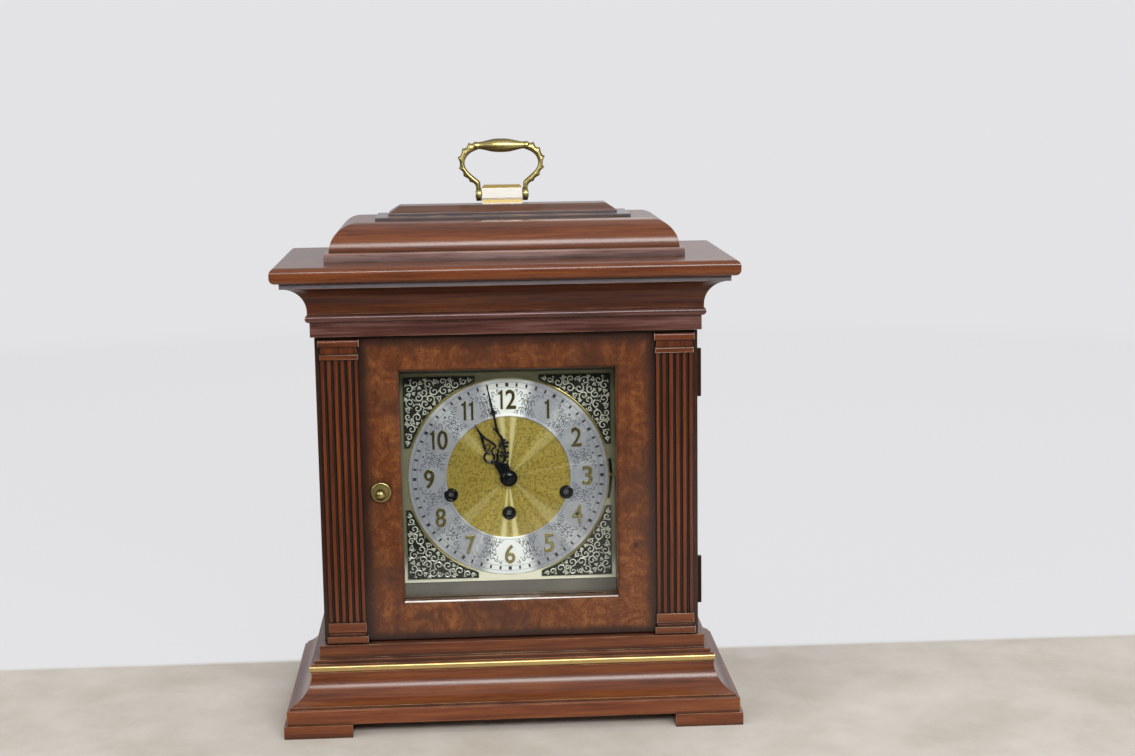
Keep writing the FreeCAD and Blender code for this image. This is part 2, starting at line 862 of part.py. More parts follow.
def pilasters():
    """Fluted strips on the door's stiles."""
    half = pilaster_width / 2
    low = z_door + foot_block_height
    high = z_door + capital_band_rise
    strip = box(pilaster_centre - half, pilaster_centre + half, y_face, y_burl, low, high)
    axis_y = y_face - flute_radius + flute_depth
    for index in range(flute_count):
        x = pilaster_centre + (index - (flute_count - 1) / 2) * flute_pitch
        strip = strip.cut(Part.makeCylinder(flute_radius, neck_band_rise - foot_band_rise - foot_band_height,
                                            V(x, axis_y, z_door + foot_band_rise + foot_band_height), UP))
    for band in pilaster_band_list():
        strip = strip.cut(band)
    return both_sides(strip)


def pilaster_band(width, relief, rise, height):
    return box(pilaster_centre - width / 2, pilaster_centre + width / 2, y_face - relief, y_burl,
               z_door + rise, z_door + rise + height)


def pilaster_band_list():
    capital = pilaster_band(capital_band_width, capital_band_relief, capital_band_rise, capital_band_height)
    nose = [edge for edge in capital.Edges if edge.BoundBox.YMax < y_face and edge.BoundBox.XLength > arris]
    capital = capital.makeFillet(capital_band_relief - running_fit, nose)
    neck = pilaster_band(neck_band_width, neck_band_relief, neck_band_rise, neck_band_height)
    foot = pilaster_band(foot_band_width, foot_band_relief, foot_band_rise, foot_band_height)
    bevel_low = foot_band_rise - foot_bevel_height
    bevel = pilaster_band(foot_band_width, foot_band_relief, bevel_low, foot_bevel_height)
    slope = [edge for edge in bevel.Edges if edge.BoundBox.YMax < y_face
             and edge.BoundBox.XLength > arris and edge.BoundBox.ZMax < z_door + bevel_low + running_fit]
    bevel = bevel.makeChamfer(foot_band_relief + arris, slope)
    block = pilaster_band(foot_block_width, foot_block_relief, 0, foot_block_height)
    return [capital, neck, fuse([foot, bevel]), block]


def pilaster_bands():
    bands = []
    for band in pilaster_band_list():
        bands += both_sides(band)
    return bands


def knob_z():
    return z_door + door_height * knob_height_share


def door_knob():
    x = -knob_from_centre
    z = knob_z()
    front = y_burl - rosette_thickness
    rosette = rod(rosette_radius, x, z, front, y_burl)
    ring = Part.makeTorus(rosette_radius - rosette_ring_radius, rosette_ring_radius, V(x, front, z), BACK)
    ball_y = front - knob_neck_length - knob_ball_radius
    neck = rod(knob_neck_radius, x, z, ball_y, front)
    ball = Part.makeSphere(knob_ball_radius, V(x, ball_y, z))
    spindle = rod(knob_neck_radius - running_fit, x, z, front, y_burl + knob_spindle_length)
    return fuse([rosette, ring, neck, ball, spindle])


def knuckle(index, low):
    """One knuckle of a hinge barrel, bored for the pin."""
    length = hinge_length / hinge_knuckles
    start = low + index * length + knuckle_gap / 2
    body = Part.makeCylinder(barrel_radius, length - knuckle_gap, V(hinge_x, hinge_y, start), UP)
    return body, start, start + length - knuckle_gap


def hinge_leaf(low, on_door):
    """A leaf let into the door's back or the case's front edge, with its own knuckles."""
    if on_door:
        y0 = y_door_back - leaf_thickness
        x0 = half_width - door_leaf_width
    else:
        y0 = y_carcass
        x0 = half_width - case_leaf_width
    leaf = box(x0, half_width, y0, y0 + leaf_thickness, low, low + hinge_length)
    pieces = [leaf]
    for index in range(hinge_knuckles):
        if (index % 2 == 1) == on_door:
            body, start, end = knuckle(index, low)
            web = box(half_width, hinge_x, y0, y0 + leaf_thickness, start, end)
            pieces += [body, web]
    bore_radius = hinge_pin_radius + (running_fit if on_door else 0)
    bore = Part.makeCylinder(bore_radius, hinge_length, V(hinge_x, hinge_y, low), UP)
    return fuse(pieces).cut(bore)


def door_metalwork():
    """The door's halves of both hinges, and the plate that the catch holds."""
    leaves = [hinge_leaf(z_door + rise - hinge_length / 2, True) for rise in hinge_rises]
    return leaves + [strike_plate()]


def strike_plate():
    x = -(half_width - side_thickness / 2)
    return rod(strike_radius, x, knob_z(), y_door_back - strike_thickness, y_door_back)


def door_magnet():
    x = -(half_width - side_thickness / 2)
    return rod(magnet_radius, x, knob_z(), y_carcass, y_carcass + magnet_length)


def case_metalwork():
    """The case's halves of both hinges, their pins, the catch and the back door's pivots."""
    pieces = []
    for rise in hinge_rises:
        low = z_door + rise - hinge_length / 2
        pieces.append(hinge_leaf(low, False))
        pieces.append(Part.makeCylinder(hinge_pin_radius, hinge_length, V(hinge_x, hinge_y, low), UP))
    pieces.append(door_magnet())
    return pieces + back_pivots()


def back_pivots():
    length = 2 * back_pivot_embed + door_gap
    low = back_door_low - door_gap - back_pivot_embed
    high = back_door_high - back_pivot_embed
    return [Part.makeCylinder(back_pivot_radius, length, V(back_pivot_x, back_pivot_y, z), UP)
            for z in (low, high)]


def back_frame():
    y0 = back_outer_y - back_frame_thickness
    opening = inner_half - back_stile_width
    stiles = both_sides(box(opening, inner_half, y0, back_outer_y, z_ledge, z_frieze))
    lower = box(-opening, opening, y0, back_outer_y, z_ledge, z_ledge + back_rail_height)
    upper = box(-opening, opening, y0, back_outer_y, z_frieze - back_rail_height, z_frieze)
    for pin in back_pivots():
        lower = lower.cut(pin)
        upper = upper.cut(pin)
    return stiles + [lower, upper]


def back_door():
    """A thin panel with sound slots, a finger hole and a rounded hinge edge."""
    radius = back_door_thickness / 2
    y0 = back_outer_y - back_door_thickness
    height = back_door_high - back_door_low
    panel = box(-back_door_half, back_pivot_x, y0, back_outer_y, back_door_low, back_door_high)
    nose = Part.makeCylinder(radius, height, V(back_pivot_x, back_pivot_y, back_door_low), UP)
    door = fuse([panel, nose])
    middle_z = (back_door_low + back_door_high) / 2
    for index in range(sound_slot_count):
        x = (index - (sound_slot_count - 1) / 2) * sound_slot_pitch
        slot = box(x - sound_slot_width / 2, x + sound_slot_width / 2, y0, back_outer_y,
                   middle_z - sound_slot_height / 2, middle_z + sound_slot_height / 2)
        door = door.cut(slot)
    hole_x = 2 * finger_hole_radius - back_door_half
    door = door.cut(rod(finger_hole_radius, hole_x, middle_z, y0, back_outer_y))
    for pin_z in (back_door_low, back_door_high - back_pivot_embed):
        door = door.cut(Part.makeCylinder(back_pivot_radius + running_fit, back_pivot_embed,
                                          V(back_pivot_x, back_pivot_y, pin_z), UP))
    return door


def dial_frame():
    """Four battens round the movement that carry the dial plate."""
    y1 = dial_back_y + dial_frame_thickness
    half_x = dial_size / 2 - dial_frame_side_clear
    half_z = dial_size / 2 - dial_frame_overlap
    lower = box(-inner_half, inner_half, dial_back_y, y1, z_ledge, dial_z - half_z)
    upper = box(-inner_half, inner_half, dial_back_y, y1, dial_z + half_z, z_frieze)
    sides = both_sides(box(half_x, inner_half, dial_back_y, y1, dial_z - half_z, dial_z + half_z))
    return [lower, upper] + sides


def polar(x, z, radius, angle):
    return x + radius * math.cos(math.radians(angle)), z + radius * math.sin(math.radians(angle))


def arc_slot(y0, y1):
    """The curved slot beside the three, for the chime selector's pin."""
    inner = slot_radius - slot_width / 2
    outer = slot_radius + slot_width / 2
    middle_angle = (slot_from_angle + slot_to_angle) / 2
    face = outline_face(polar(0, dial_z, inner, slot_from_angle), [
        (polar(0, dial_z, inner, middle_angle), polar(0, dial_z, inner, slot_to_angle)),
        (polar(0, dial_z, outer, slot_to_angle),),
        (polar(0, dial_z, outer, middle_angle), polar(0, dial_z, outer, slot_from_angle)),
        (polar(0, dial_z, inner, slot_from_angle),)], lambda x, z: V(x, y0, z))
    return face.extrude(BACK * (y1 - y0))


def dial_plate():
    half = dial_size / 2
    plate = box(-half, half, dial_y, dial_back_y, dial_z - half, dial_z + half)
    plate = plate.cut(rod(centre_hole_radius, 0, dial_z, dial_y, dial_back_y))
    for x, z in (low_arbor, left_arbor, right_arbor):
        plate = plate.cut(rod(winding_hole_radius, x, dial_z + z, dial_y, dial_back_y))
    return plate.cut(arc_slot(dial_y, dial_back_y))


def chapter_ring():
    front = dial_y - ring_thickness
    ring = rod(ring_radius, 0, dial_z, front, dial_y)
    ring = ring.cut(rod(ring_bore_radius, 0, dial_z, front, dial_y))
    for x, z in (left_arbor, right_arbor):
        ring = ring.cut(rod(grommet_flange_radius + slip, x, dial_z + z, front, dial_y))
    return ring


def winding_grommets():
    grommets = []
    for x, z in (low_arbor, left_arbor, right_arbor):
        flange = rod(grommet_flange_radius, x, dial_z + z, dial_y - grommet_flange_thickness, dial_y)
        sleeve = rod(winding_hole_radius, x, dial_z + z, dial_y, dial_back_y)
        bore = rod(grommet_bore_radius, x, dial_z + z, dial_y - grommet_flange_thickness, dial_back_y)
        grommets.append(fuse([flange, sleeve]).cut(bore))
    return grommets


def spandrels():
    """Corner castings: two straight sides and a hollow side that follows the ring."""
    edge = dial_size / 2 - spandrel_inset
    radius = ring_radius + spandrel_gap
    tip = edge - spandrel_reach
    tip_height = math.sqrt(radius ** 2 - tip ** 2)
    diagonal = radius * math.sqrt(0.5)
    front = dial_y - spandrel_thickness
    corners = []
    face = outline_face((edge, edge), [
        ((tip, edge),), ((tip, tip_height),), ((diagonal, diagonal), (tip_height, tip)),
        ((edge, tip),), ((edge, edge),)], lambda x, z: V(x, front, dial_z + z))
    upper = face.extrude(BACK * spandrel_thickness)
    lower = upper.mirror(V(0, 0, dial_z), UP)
    for shape in (upper, lower):
        corners += both_sides(shape)
    return corners


def chime_selector():
    """A lever that turns about the dial's centre and shows its pin through the curved slot."""
    front = dial_back_y + selector_clear
    back = front + selector_thickness
    hub = rod(selector_hub_radius, 0, dial_z, front, back)
    arm = box(0, slot_radius, front, back, dial_z - selector_arm_width / 2, dial_z + selector_arm_width / 2)
    pin = rod(selector_pin_radius, slot_radius, dial_z, dial_y - selector_pin_stand, back)
    bore = rod(selector_bore_radius, 0, dial_z, front, back)
    return fuse([hub, arm, pin]).cut(bore)


def turned(shape, angle):
    """Turn a shape about the dial's centre, clockwise as seen from the front."""
    copy = shape.copy()
    copy.rotate(V(0, 0, dial_z), BACK, angle)
    return copy


def flat_blade(points, y0, thickness):
    """A flat plate from points given as (across, out from the dial's centre)."""
    corners = [V(x, y0, dial_z + z) for x, z in points]
    return Part.Face(Part.makePolygon(corners + [corners[0]])).extrude(BACK * thickness)


def flat_ring(x, z, radius, wall, y0, thickness):
    outer = rod(radius, x, dial_z + z, y0, y0 + thickness)
    return outer.cut(rod(radius - wall, x, dial_z + z, y0, y0 + thickness))


def hand_pieces(hub_radius, length, bend_shares, ring, ring_shares, y0):
    """A hub, a blade that narrows towards its tip, and open rings beside the blade."""
    wide = hub_radius / 3
    thin = hand_thickness / 2
    broad_end, narrow_start = (length * share for share in bend_shares)
    hub = rod(hub_radius, 0, dial_z, y0, y0 + hand_thickness)
    blade = flat_blade([(-wide, 0), (wide, 0), (wide, broad_end), (thin, narrow_start),
                        (thin / 2, length), (-thin / 2, length),
                        (-thin, narrow_start), (-wide, broad_end)], y0, hand_thickness)
    rings = [flat_ring(side * ring, length * share, ring, thin + hand_thickness, y0, hand_thickness)
             for side, share in ring_shares]
    return [hub, blade] + rings


def hour_hand():
    y0 = dial_y - ring_thickness - hour_hand_stand
    blade = fuse(hand_pieces(hour_hub_radius, hour_hand_length, hour_bend_shares,
                             hour_ring_radius, hour_ring_shares, y0))
    bore = rod(hour_pipe_radius(), 0, dial_z, y0, y0 + hand_thickness)
    return turned(blade.cut(bore), -hour_angle)


def minute_hand():
    y0 = dial_y - ring_thickness - minute_hand_stand
    pieces = hand_pieces(minute_hub_radius, minute_hand_length, minute_bend_shares,
                         minute_ring_radius, minute_ring_shares, y0)
    pieces += [rod(minute_spur_radius, 0, dial_z + minute_hand_length * share, y0, y0 + hand_thickness)
               for share in minute_spur_shares]
    bore = rod(cannon_radius, 0, dial_z, y0, y0 + hand_thickness)
    return turned(fuse(pieces).cut(bore), -minute_angle)


def hand_nut():
    y1 = dial_y - ring_thickness - minute_hand_stand
    nut = rod(nut_radius, 0, dial_z, y1 - nut_height, y1)
    edges = [edge for edge in nut.Edges if edge.BoundBox.YMax < y1 - nut_height / 2]
    nut = nut.makeFillet(nut_height / 2, edges[:1])
    return nut.cut(rod(centre_arbor_radius, 0, dial_z, y1 - nut_height, y1))


def hour_pipe_radius():
    return cannon_radius + running_fit + hour_pipe_wall


def gear(x, z, y0, thickness, teeth, module, phase):
    """A toothed wheel along Y; one tooth points to the phase angle."""
    pitch_radius = teeth * module / 2
    root = pitch_radius - dedendum_share * module
    tip = pitch_radius + addendum_share * module
    step = 360.0 / teeth
    points = []
    for index in range(teeth):
        middle = phase + index * step
        for radius, share in ((root, -tooth_root_share), (tip, -tooth_tip_share),
                              (tip, tooth_tip_share), (root, tooth_root_share)):
            px, pz = polar(x, z, radius, middle + share * step)
            points.append(V(px, y0, dial_z + pz))
    return Part.Face(Part.makePolygon(points + [points[0]])).extrude(BACK * thickness)


def lightened(wheel, x, z, y0, thickness, teeth, module):
    """A wheel with round holes through its web."""
    pitch_radius = teeth * module / 2
    for index in range(lightening_count):
        angle = index * 360 / lightening_count
        px, pz = polar(x, z, pitch_radius * lightening_place_share, angle)
        wheel = wheel.cut(rod(pitch_radius * lightening_radius_share, px, dial_z + pz, y0, y0 + thickness))
    return wheel


def mesh_phase(direction, phase, teeth, other_teeth):
    """The phase of the wheel that lies in the given direction from a wheel it meshes with."""
    step = 360.0 / teeth
    ahead = (direction - phase) % step
    return direction + 180 + ahead * teeth / other_teeth + 180.0 / other_teeth


def direction_to(here, there):
    return math.degrees(math.atan2(there[1] - here[1], there[0] - here[0]))


def second_arbor_place():
    """Where the second wheel's arbor meets both the going barrel and the centre pinion."""
    from_barrel = (barrel_teeth + pinion_leaves) * barrel_module / 2
    z = (from_barrel ** 2 - second_arbor_distance ** 2 - low_arbor_drop ** 2) / (2 * low_arbor_drop)
    return math.sqrt(second_arbor_distance ** 2 - z ** 2), z


def third_arbor_place():
    return polar(0, 0, third_arbor_distance, third_arbor_angle)


def escape_arbor_place():
    distance = (third_wheel_teeth + small_pinion_leaves) * third_wheel_module / 2
    return polar(*third_arbor_place(), distance, escape_arbor_angle)


def balance_place():
    x, z = escape_arbor_place()
    return x + balance_offset, z


def pallet_place():
    x, z = escape_arbor_place()
    return x + escape_wheel_radius + (balance_offset - escape_wheel_radius - balance_radius) / 2, z


def minute_arbor_place():
    distance = (cannon_teeth + minute_wheel_teeth) * motion_module / 2
    return polar(0, 0, distance, minute_arbor_angle)


# Planes of the going train, from the inside of the front plate to the back
barrel_y = between_y + barrel_start
drum_y = barrel_y + barrel_wheel_thickness
second_wheel_y = back_plate_y - second_wheel_from_back
centre_wheel_y = back_plate_y - centre_wheel_from_back
third_wheel_y = second_wheel_y - third_wheel_ahead
cannon_wheel_y = front_plate_y - cannon_wheel_ahead
hour_wheel_y = front_plate_y - hour_wheel_ahead
escape_wheel_y = behind_y + escape_wheel_behind
balance_y = escape_wheel_y + balance_behind_escape


def going_barrel_phase():
    return direction_to(low_arbor, second_arbor_place())


def second_pinion_phase():
    direction = direction_to(low_arbor, second_arbor_place())
    return mesh_phase(direction, going_barrel_phase(), barrel_teeth, pinion_leaves)


def barrel(place, phase):
    """A mainspring barrel: a toothed flange and a drum, bored for the winding arbor."""
    x, z = place
    wheel = gear(x, z, barrel_y, barrel_wheel_thickness, barrel_teeth, barrel_module, phase)
    drum = rod(barrel_drum_radius, x, dial_z + z, drum_y, drum_y + barrel_drum_length)
    bore = rod(winding_radius + running_fit, x, dial_z + z, barrel_y, drum_y + barrel_drum_length)
    return fuse([wheel, drum]).cut(bore)


def winding_arbor(place):
    """An arbor through both plates, with a ratchet wheel in front and a square for the key."""
    x, z = place
    back = back_plate_y + plate_thickness
    square_front = dial_y + arris
    shaft = rod(winding_radius, x, dial_z + z, square_front + winding_square_length, back)
    half = winding_square / 2
    square = box(x - half, x + half, square_front, square_front + winding_square_length,
                 dial_z + z - half, dial_z + z + half)
    module = 2 * ratchet_radius / ratchet_teeth
    ratchet_y = front_plate_y - ratchet_thickness - slip
    ratchet = gear(x, z, ratchet_y, ratchet_thickness, ratchet_teeth, module, 0)
    return fuse([shaft, square, ratchet])


def centre_arbor():
    """The centre arbor with its pinion, the centre wheel and the cannon pinion."""
    front = dial_y - ring_thickness - minute_hand_stand - nut_height
    shaft = rod(centre_arbor_radius, 0, dial_z, front, behind_y)
    cannon_front = dial_y - ring_thickness - minute_hand_stand
    cannon = rod(cannon_radius, 0, dial_z, cannon_front, cannon_wheel_y + 2 * wheel_thickness)
    cannon_wheel = gear(0, 0, cannon_wheel_y, 2 * wheel_thickness, cannon_teeth, motion_module,
                        cannon_phase())
    pinion = gear(0, 0, second_wheel_y - arris, pinion_length, pinion_leaves, second_wheel_module,
                  centre_pinion_phase())
    wheel = gear(0, 0, centre_wheel_y, wheel_thickness, centre_wheel_teeth, centre_wheel_module,
                 centre_wheel_phase())
    wheel = lightened(wheel, 0, 0, centre_wheel_y, wheel_thickness, centre_wheel_teeth, centre_wheel_module)
    return fuse([shaft, cannon, cannon_wheel, pinion, wheel])


def cannon_phase():
    return minute_arbor_angle


def centre_pinion_phase():
    direction = direction_to(second_arbor_place(), (0, 0))
    return mesh_phase(direction, second_wheel_phase(), second_wheel_teeth, pinion_leaves)


def second_wheel_phase():
    return direction_to(second_arbor_place(), (0, 0))


def centre_wheel_phase():
    return third_arbor_angle


def second_wheel():
    x, z = second_arbor_place()
    arbor = rod(arbor_radius, x, dial_z + z, front_plate_y, behind_y)
    pinion = gear(x, z, barrel_y - arris, barrel_wheel_thickness + 2 * arris, pinion_leaves, barrel_module,
                  second_pinion_phase())
    wheel = gear(x, z, second_wheel_y, wheel_thickness, second_wheel_teeth, second_wheel_module,
                 second_wheel_phase())
    wheel = lightened(wheel, x, z, second_wheel_y, wheel_thickness, second_wheel_teeth, second_wheel_module)
    return fuse([arbor, pinion, wheel])


def third_wheel():
    x, z = third_arbor_place()
    arbor = rod(arbor_radius, x, dial_z + z, front_plate_y, behind_y)
    pinion = gear(x, z, centre_wheel_y - arris, pinion_length, small_pinion_leaves, centre_wheel_module,
                  mesh_phase(third_arbor_angle, centre_wheel_phase(), centre_wheel_teeth,
                             small_pinion_leaves))
    wheel = gear(x, z, third_wheel_y, wheel_thickness, third_wheel_teeth, third_wheel_module,
                 escape_arbor_angle)
    wheel = lightened(wheel, x, z, third_wheel_y, wheel_thickness, third_wheel_teeth, third_wheel_module)
    return fuse([arbor, pinion, wheel])


def escape_wheel():
    x, z = escape_arbor_place()
    arbor = rod(escape_arbor_radius, x, dial_z + z, front_plate_y, escape_wheel_y + wheel_thickness)
    pinion = gear(x, z, third_wheel_y - arris, pinion_length, small_pinion_leaves, third_wheel_module,
                  mesh_phase(escape_arbor_angle, escape_arbor_angle, third_wheel_teeth,
                             small_pinion_leaves))
    module = 2 * escape_wheel_radius / escape_wheel_teeth * escape_tooth_share
    wheel = gear(x, z, escape_wheel_y, wheel_thickness, escape_wheel_teeth, module, 0)
    return fuse([arbor, pinion, wheel])


def pallet_lever():
    """A small anchor between the escape wheel and the balance."""
    x, z = pallet_place()
    y0 = escape_wheel_y + wheel_thickness + slip
    y1 = y0 + wheel_thickness
    arbor = rod(pallet_arbor_radius, x, dial_z + z, back_plate_y, y1)
    half = pallet_tail / 2
    arm = box(x - pallet_reach, x + pallet_tail, y0, y1, dial_z + z - half, dial_z + z + half)
    cross = box(x - pallet_reach, x - pallet_tail, y0, y1,
                dial_z + z - pallet_half_span, dial_z + z + pallet_half_span)
    return fuse([arbor, arm, cross])


def balance_wheel():
    x, z = balance_place()
    outer = rod(balance_radius, x, dial_z + z, balance_y, balance_y + balance_rim)
    rim = outer.cut(rod(balance_radius - balance_rim, x, dial_z + z, balance_y, balance_y + balance_rim))
    half = balance_arm_width / 2
    reach = balance_radius - balance_rim / 2
    back = balance_y + balance_rim
    arm = box(x - reach, x + reach, balance_y, back, dial_z + z - half, dial_z + z + half)
    cross = box(x - half, x + half, balance_y, back, dial_z + z - reach, dial_z + z + reach)
    staff = rod(balance_staff_radius, x, dial_z + z, back_plate_y, cock_y() + cheek_thickness)
    collar = rod(balance_collar_radius, x, dial_z + z, balance_y - balance_rim, back + balance_rim)
    return fuse([rim, arm, cross, staff, collar])


def cock_y():
    return balance_y + cock_behind_balance


def minute_wheel():
    x, z = minute_arbor_place()
    arbor = rod(arbor_radius, x, dial_z + z, hour_wheel_y - arris, between_y)
    wheel_y = cannon_wheel_y + wheel_thickness / 2
    phase = mesh_phase(minute_arbor_angle, cannon_phase(), cannon_teeth, minute_wheel_teeth)
    wheel = gear(x, z, wheel_y, wheel_thickness, minute_wheel_teeth, motion_module, phase)
    pinion = gear(x, z, hour_wheel_y - arris, 2 * wheel_thickness, minute_pinion_leaves, hour_module(),
                  minute_arbor_angle + 180)
    return fuse([arbor, wheel, pinion])


def hour_module():
    """The module that puts the second motion pair at the same distance as the first."""
    return motion_module * (cannon_teeth + minute_wheel_teeth) / (minute_pinion_leaves + hour_wheel_teeth)


def hour_wheel():
    direction = minute_arbor_angle + 180
    phase = mesh_phase(direction, direction, minute_pinion_leaves, hour_wheel_teeth)
    wheel = gear(0, 0, hour_wheel_y, wheel_thickness, hour_wheel_teeth, hour_module(), phase)
    front = dial_y - ring_thickness - hour_hand_stand
    pipe = rod(hour_pipe_radius(), 0, dial_z, front, hour_wheel_y + wheel_thickness)
    bore = rod(cannon_radius + running_fit, 0, dial_z, front, hour_wheel_y + wheel_thickness)
    return fuse([wheel, pipe]).cut(bore)


def arbor_holes(plate):
    """Bore a movement plate for every arbor that runs in it."""
    holes = [(low_arbor, winding_radius), (left_arbor, winding_radius), (right_arbor, winding_radius),
             ((0, 0), centre_arbor_radius), (second_arbor_place(), arbor_radius),
             (third_arbor_place(), arbor_radius), (escape_arbor_place(), escape_arbor_radius),
             (minute_arbor_place(), arbor_radius), (pallet_place(), pallet_arbor_radius),
             (balance_place(), balance_staff_radius), (drum_place(), centre_arbor_radius)]
    limits = plate.BoundBox
    for (x, z), radius in holes:
        plate = plate.cut(rod(radius + running_fit, x, dial_z + z, limits.YMin, limits.YMax))
    return plate


def movement_plates():
    half = plate_width / 2
    plates = []
    for y0 in (front_plate_y, back_plate_y):
        plate = box(-half, half, y0, y0 + plate_thickness, plate_z, plate_z + plate_height)
        plates.append(arbor_holes(plate))
    return plates


def plate_pillars():
    reach = plate_width / 2 - pillar_inset
    pillars = []
    for z in (plate_z + pillar_inset, plate_z + plate_height - pillar_inset):
        pillars += both_sides(rod(pillar_radius, reach, z, between_y, back_plate_y))
    return pillars


def seat_board():
    front = dial_back_y + dial_frame_thickness
    return box(-inner_half, inner_half, front, behind_y, plate_z - seat_height, plate_z)


def hammer_arbor_place():
    return hammer_arbor_x, -hammer_arbor_drop


def drum_place():
    x, z = hammer_arbor_place()
    return x + drum_offset_x, z + drum_offset_z


def hammer_y(index):
    return behind_y + hammer_first + index * hammer_pitch


def rear_cheek_y():
    return hammer_y(hammer_count - 1) + hammer_first - cheek_thickness


def movement_brackets():
    """Two cheeks that carry the hammers and the chime drum, and the balance cock."""
    x, z = hammer_arbor_place()
    drum_x, drum_z = drum_place()
    x0 = x - cheek_margin
    x1 = drum_x + cheek_margin
    z0 = dial_z + z - cheek_margin
    z1 = dial_z + drum_z + cheek_margin
    front = box(x0, x1, behind_y, behind_y + cheek_thickness, z0, z1)
    rear = box(x0, x1, rear_cheek_y(), rear_cheek_y() + cheek_thickness, z0, z1)
    spacer = rod(hammer_hub_radius, x1 - hammer_hub_radius, z0 + hammer_hub_radius,
                 behind_y, rear_cheek_y() + cheek_thickness)
    spindle = rod(arbor_radius, x, dial_z + z, behind_y, rear_cheek_y() + cheek_thickness)
    frame = fuse([front, rear, spacer, spindle])
    drum_hole = rod(centre_arbor_radius + running_fit, drum_x, dial_z + drum_z, behind_y,
                    rear_cheek_y() + cheek_thickness)
    return [frame.cut(drum_hole), balance_cock()]


def balance_cock():
    x, z = balance_place()
    half = cock_width / 2
    foot_x = x + balance_radius + slip + balance_rim
    bridge = box(x - half, foot_x + half, cock_y(), cock_y() + cheek_thickness,
                 dial_z + z - half, dial_z + z + half)
    foot = box(foot_x, foot_x + half, behind_y, cock_y(), dial_z + z - half, dial_z + z + half)
    hole = rod(balance_staff_radius + running_fit, x, dial_z + z, cock_y(), cock_y() + cheek_thickness)
    return fuse([bridge, foot]).cut(hole)


def hammer(index):
    """One chime hammer: a hub on the spindle, an arm with a round head, and a short tail."""
    x, z = hammer_arbor_place()
    middle = hammer_y(index)
    y0 = middle - hammer_arm_thickness / 2
    y1 = middle + hammer_arm_thickness / 2
    z_arm = dial_z + z
    hub = rod(hammer_hub_radius, x, z_arm, y0, y1)
    arm = box(x - hammer_reach, x, y0, y1, z_arm - hammer_arm_height / 2, z_arm + hammer_arm_height / 2)
    head = Part.makeCylinder(hammer_head_radius, hammer_head_drop + hammer_head_above,
                             V(x - hammer_reach, middle, z_arm - hammer_head_drop), UP)
    drum_x, drum_z = drum_place()
    toward = V(drum_x - x, 0, drum_z - z)
    toward.normalize()
    tail = Part.makeCylinder(hammer_arm_thickness / 2, hammer_tail, V(x, middle, z_arm), toward)
    bore = rod(arbor_radius + running_fit, x, z_arm, y0, y1)
    return fuse([hub, arm, head, tail]).cut(bore)


def chime_drum():
    x, z = drum_place()
    z += dial_z
    y0 = behind_y + cheek_thickness + slip
    y1 = rear_cheek_y() - slip
    drum = rod(drum_radius, x, z, y0, y1)
    arbor = rod(centre_arbor_radius, x, z, back_plate_y, rear_cheek_y() + cheek_thickness)
    pieces = [drum, arbor]
    for index in range(hammer_count):
        for turn in range(drum_pin_turns):
            angle = drum_pin_first_angle + drum_pin_step_angle * index + 360 / drum_pin_turns * turn
            out = V(math.cos(math.radians(angle)), 0, math.sin(math.radians(angle)))
            pieces.append(Part.makeCylinder(drum_pin_radius, drum_radius + drum_pin_length,
                                            V(x, hammer_y(index), z), out))
    return fuse(pieces)


def rod_z():
    return dial_z - hammer_arbor_drop - hammer_head_drop - rod_gap - rod_radius


def chime_rods():
    """Four tuned rods in an iron block that stands on the floor board."""
    block_x = -rod_block_x
    head_x = hammer_arbor_x - hammer_reach
    y0 = hammer_y(0) - rod_block_overhang
    y1 = hammer_y(hammer_count - 1) + rod_block_overhang
    block = box(block_x - rod_block_width / 2, block_x + rod_block_width / 2, y0, y1,
                z_ledge, rod_z() + rod_block_overhang)
    pieces = []
    for index in range(hammer_count):
        end = head_x + rod_past_head + (hammer_count - 1 - index) * rod_step
        bar = Part.makeCylinder(rod_radius, end - block_x, V(block_x, hammer_y(index), rod_z()), RIGHT)
        block = block.cut(bar)
        pieces.append(bar)
    return [block] + pieces


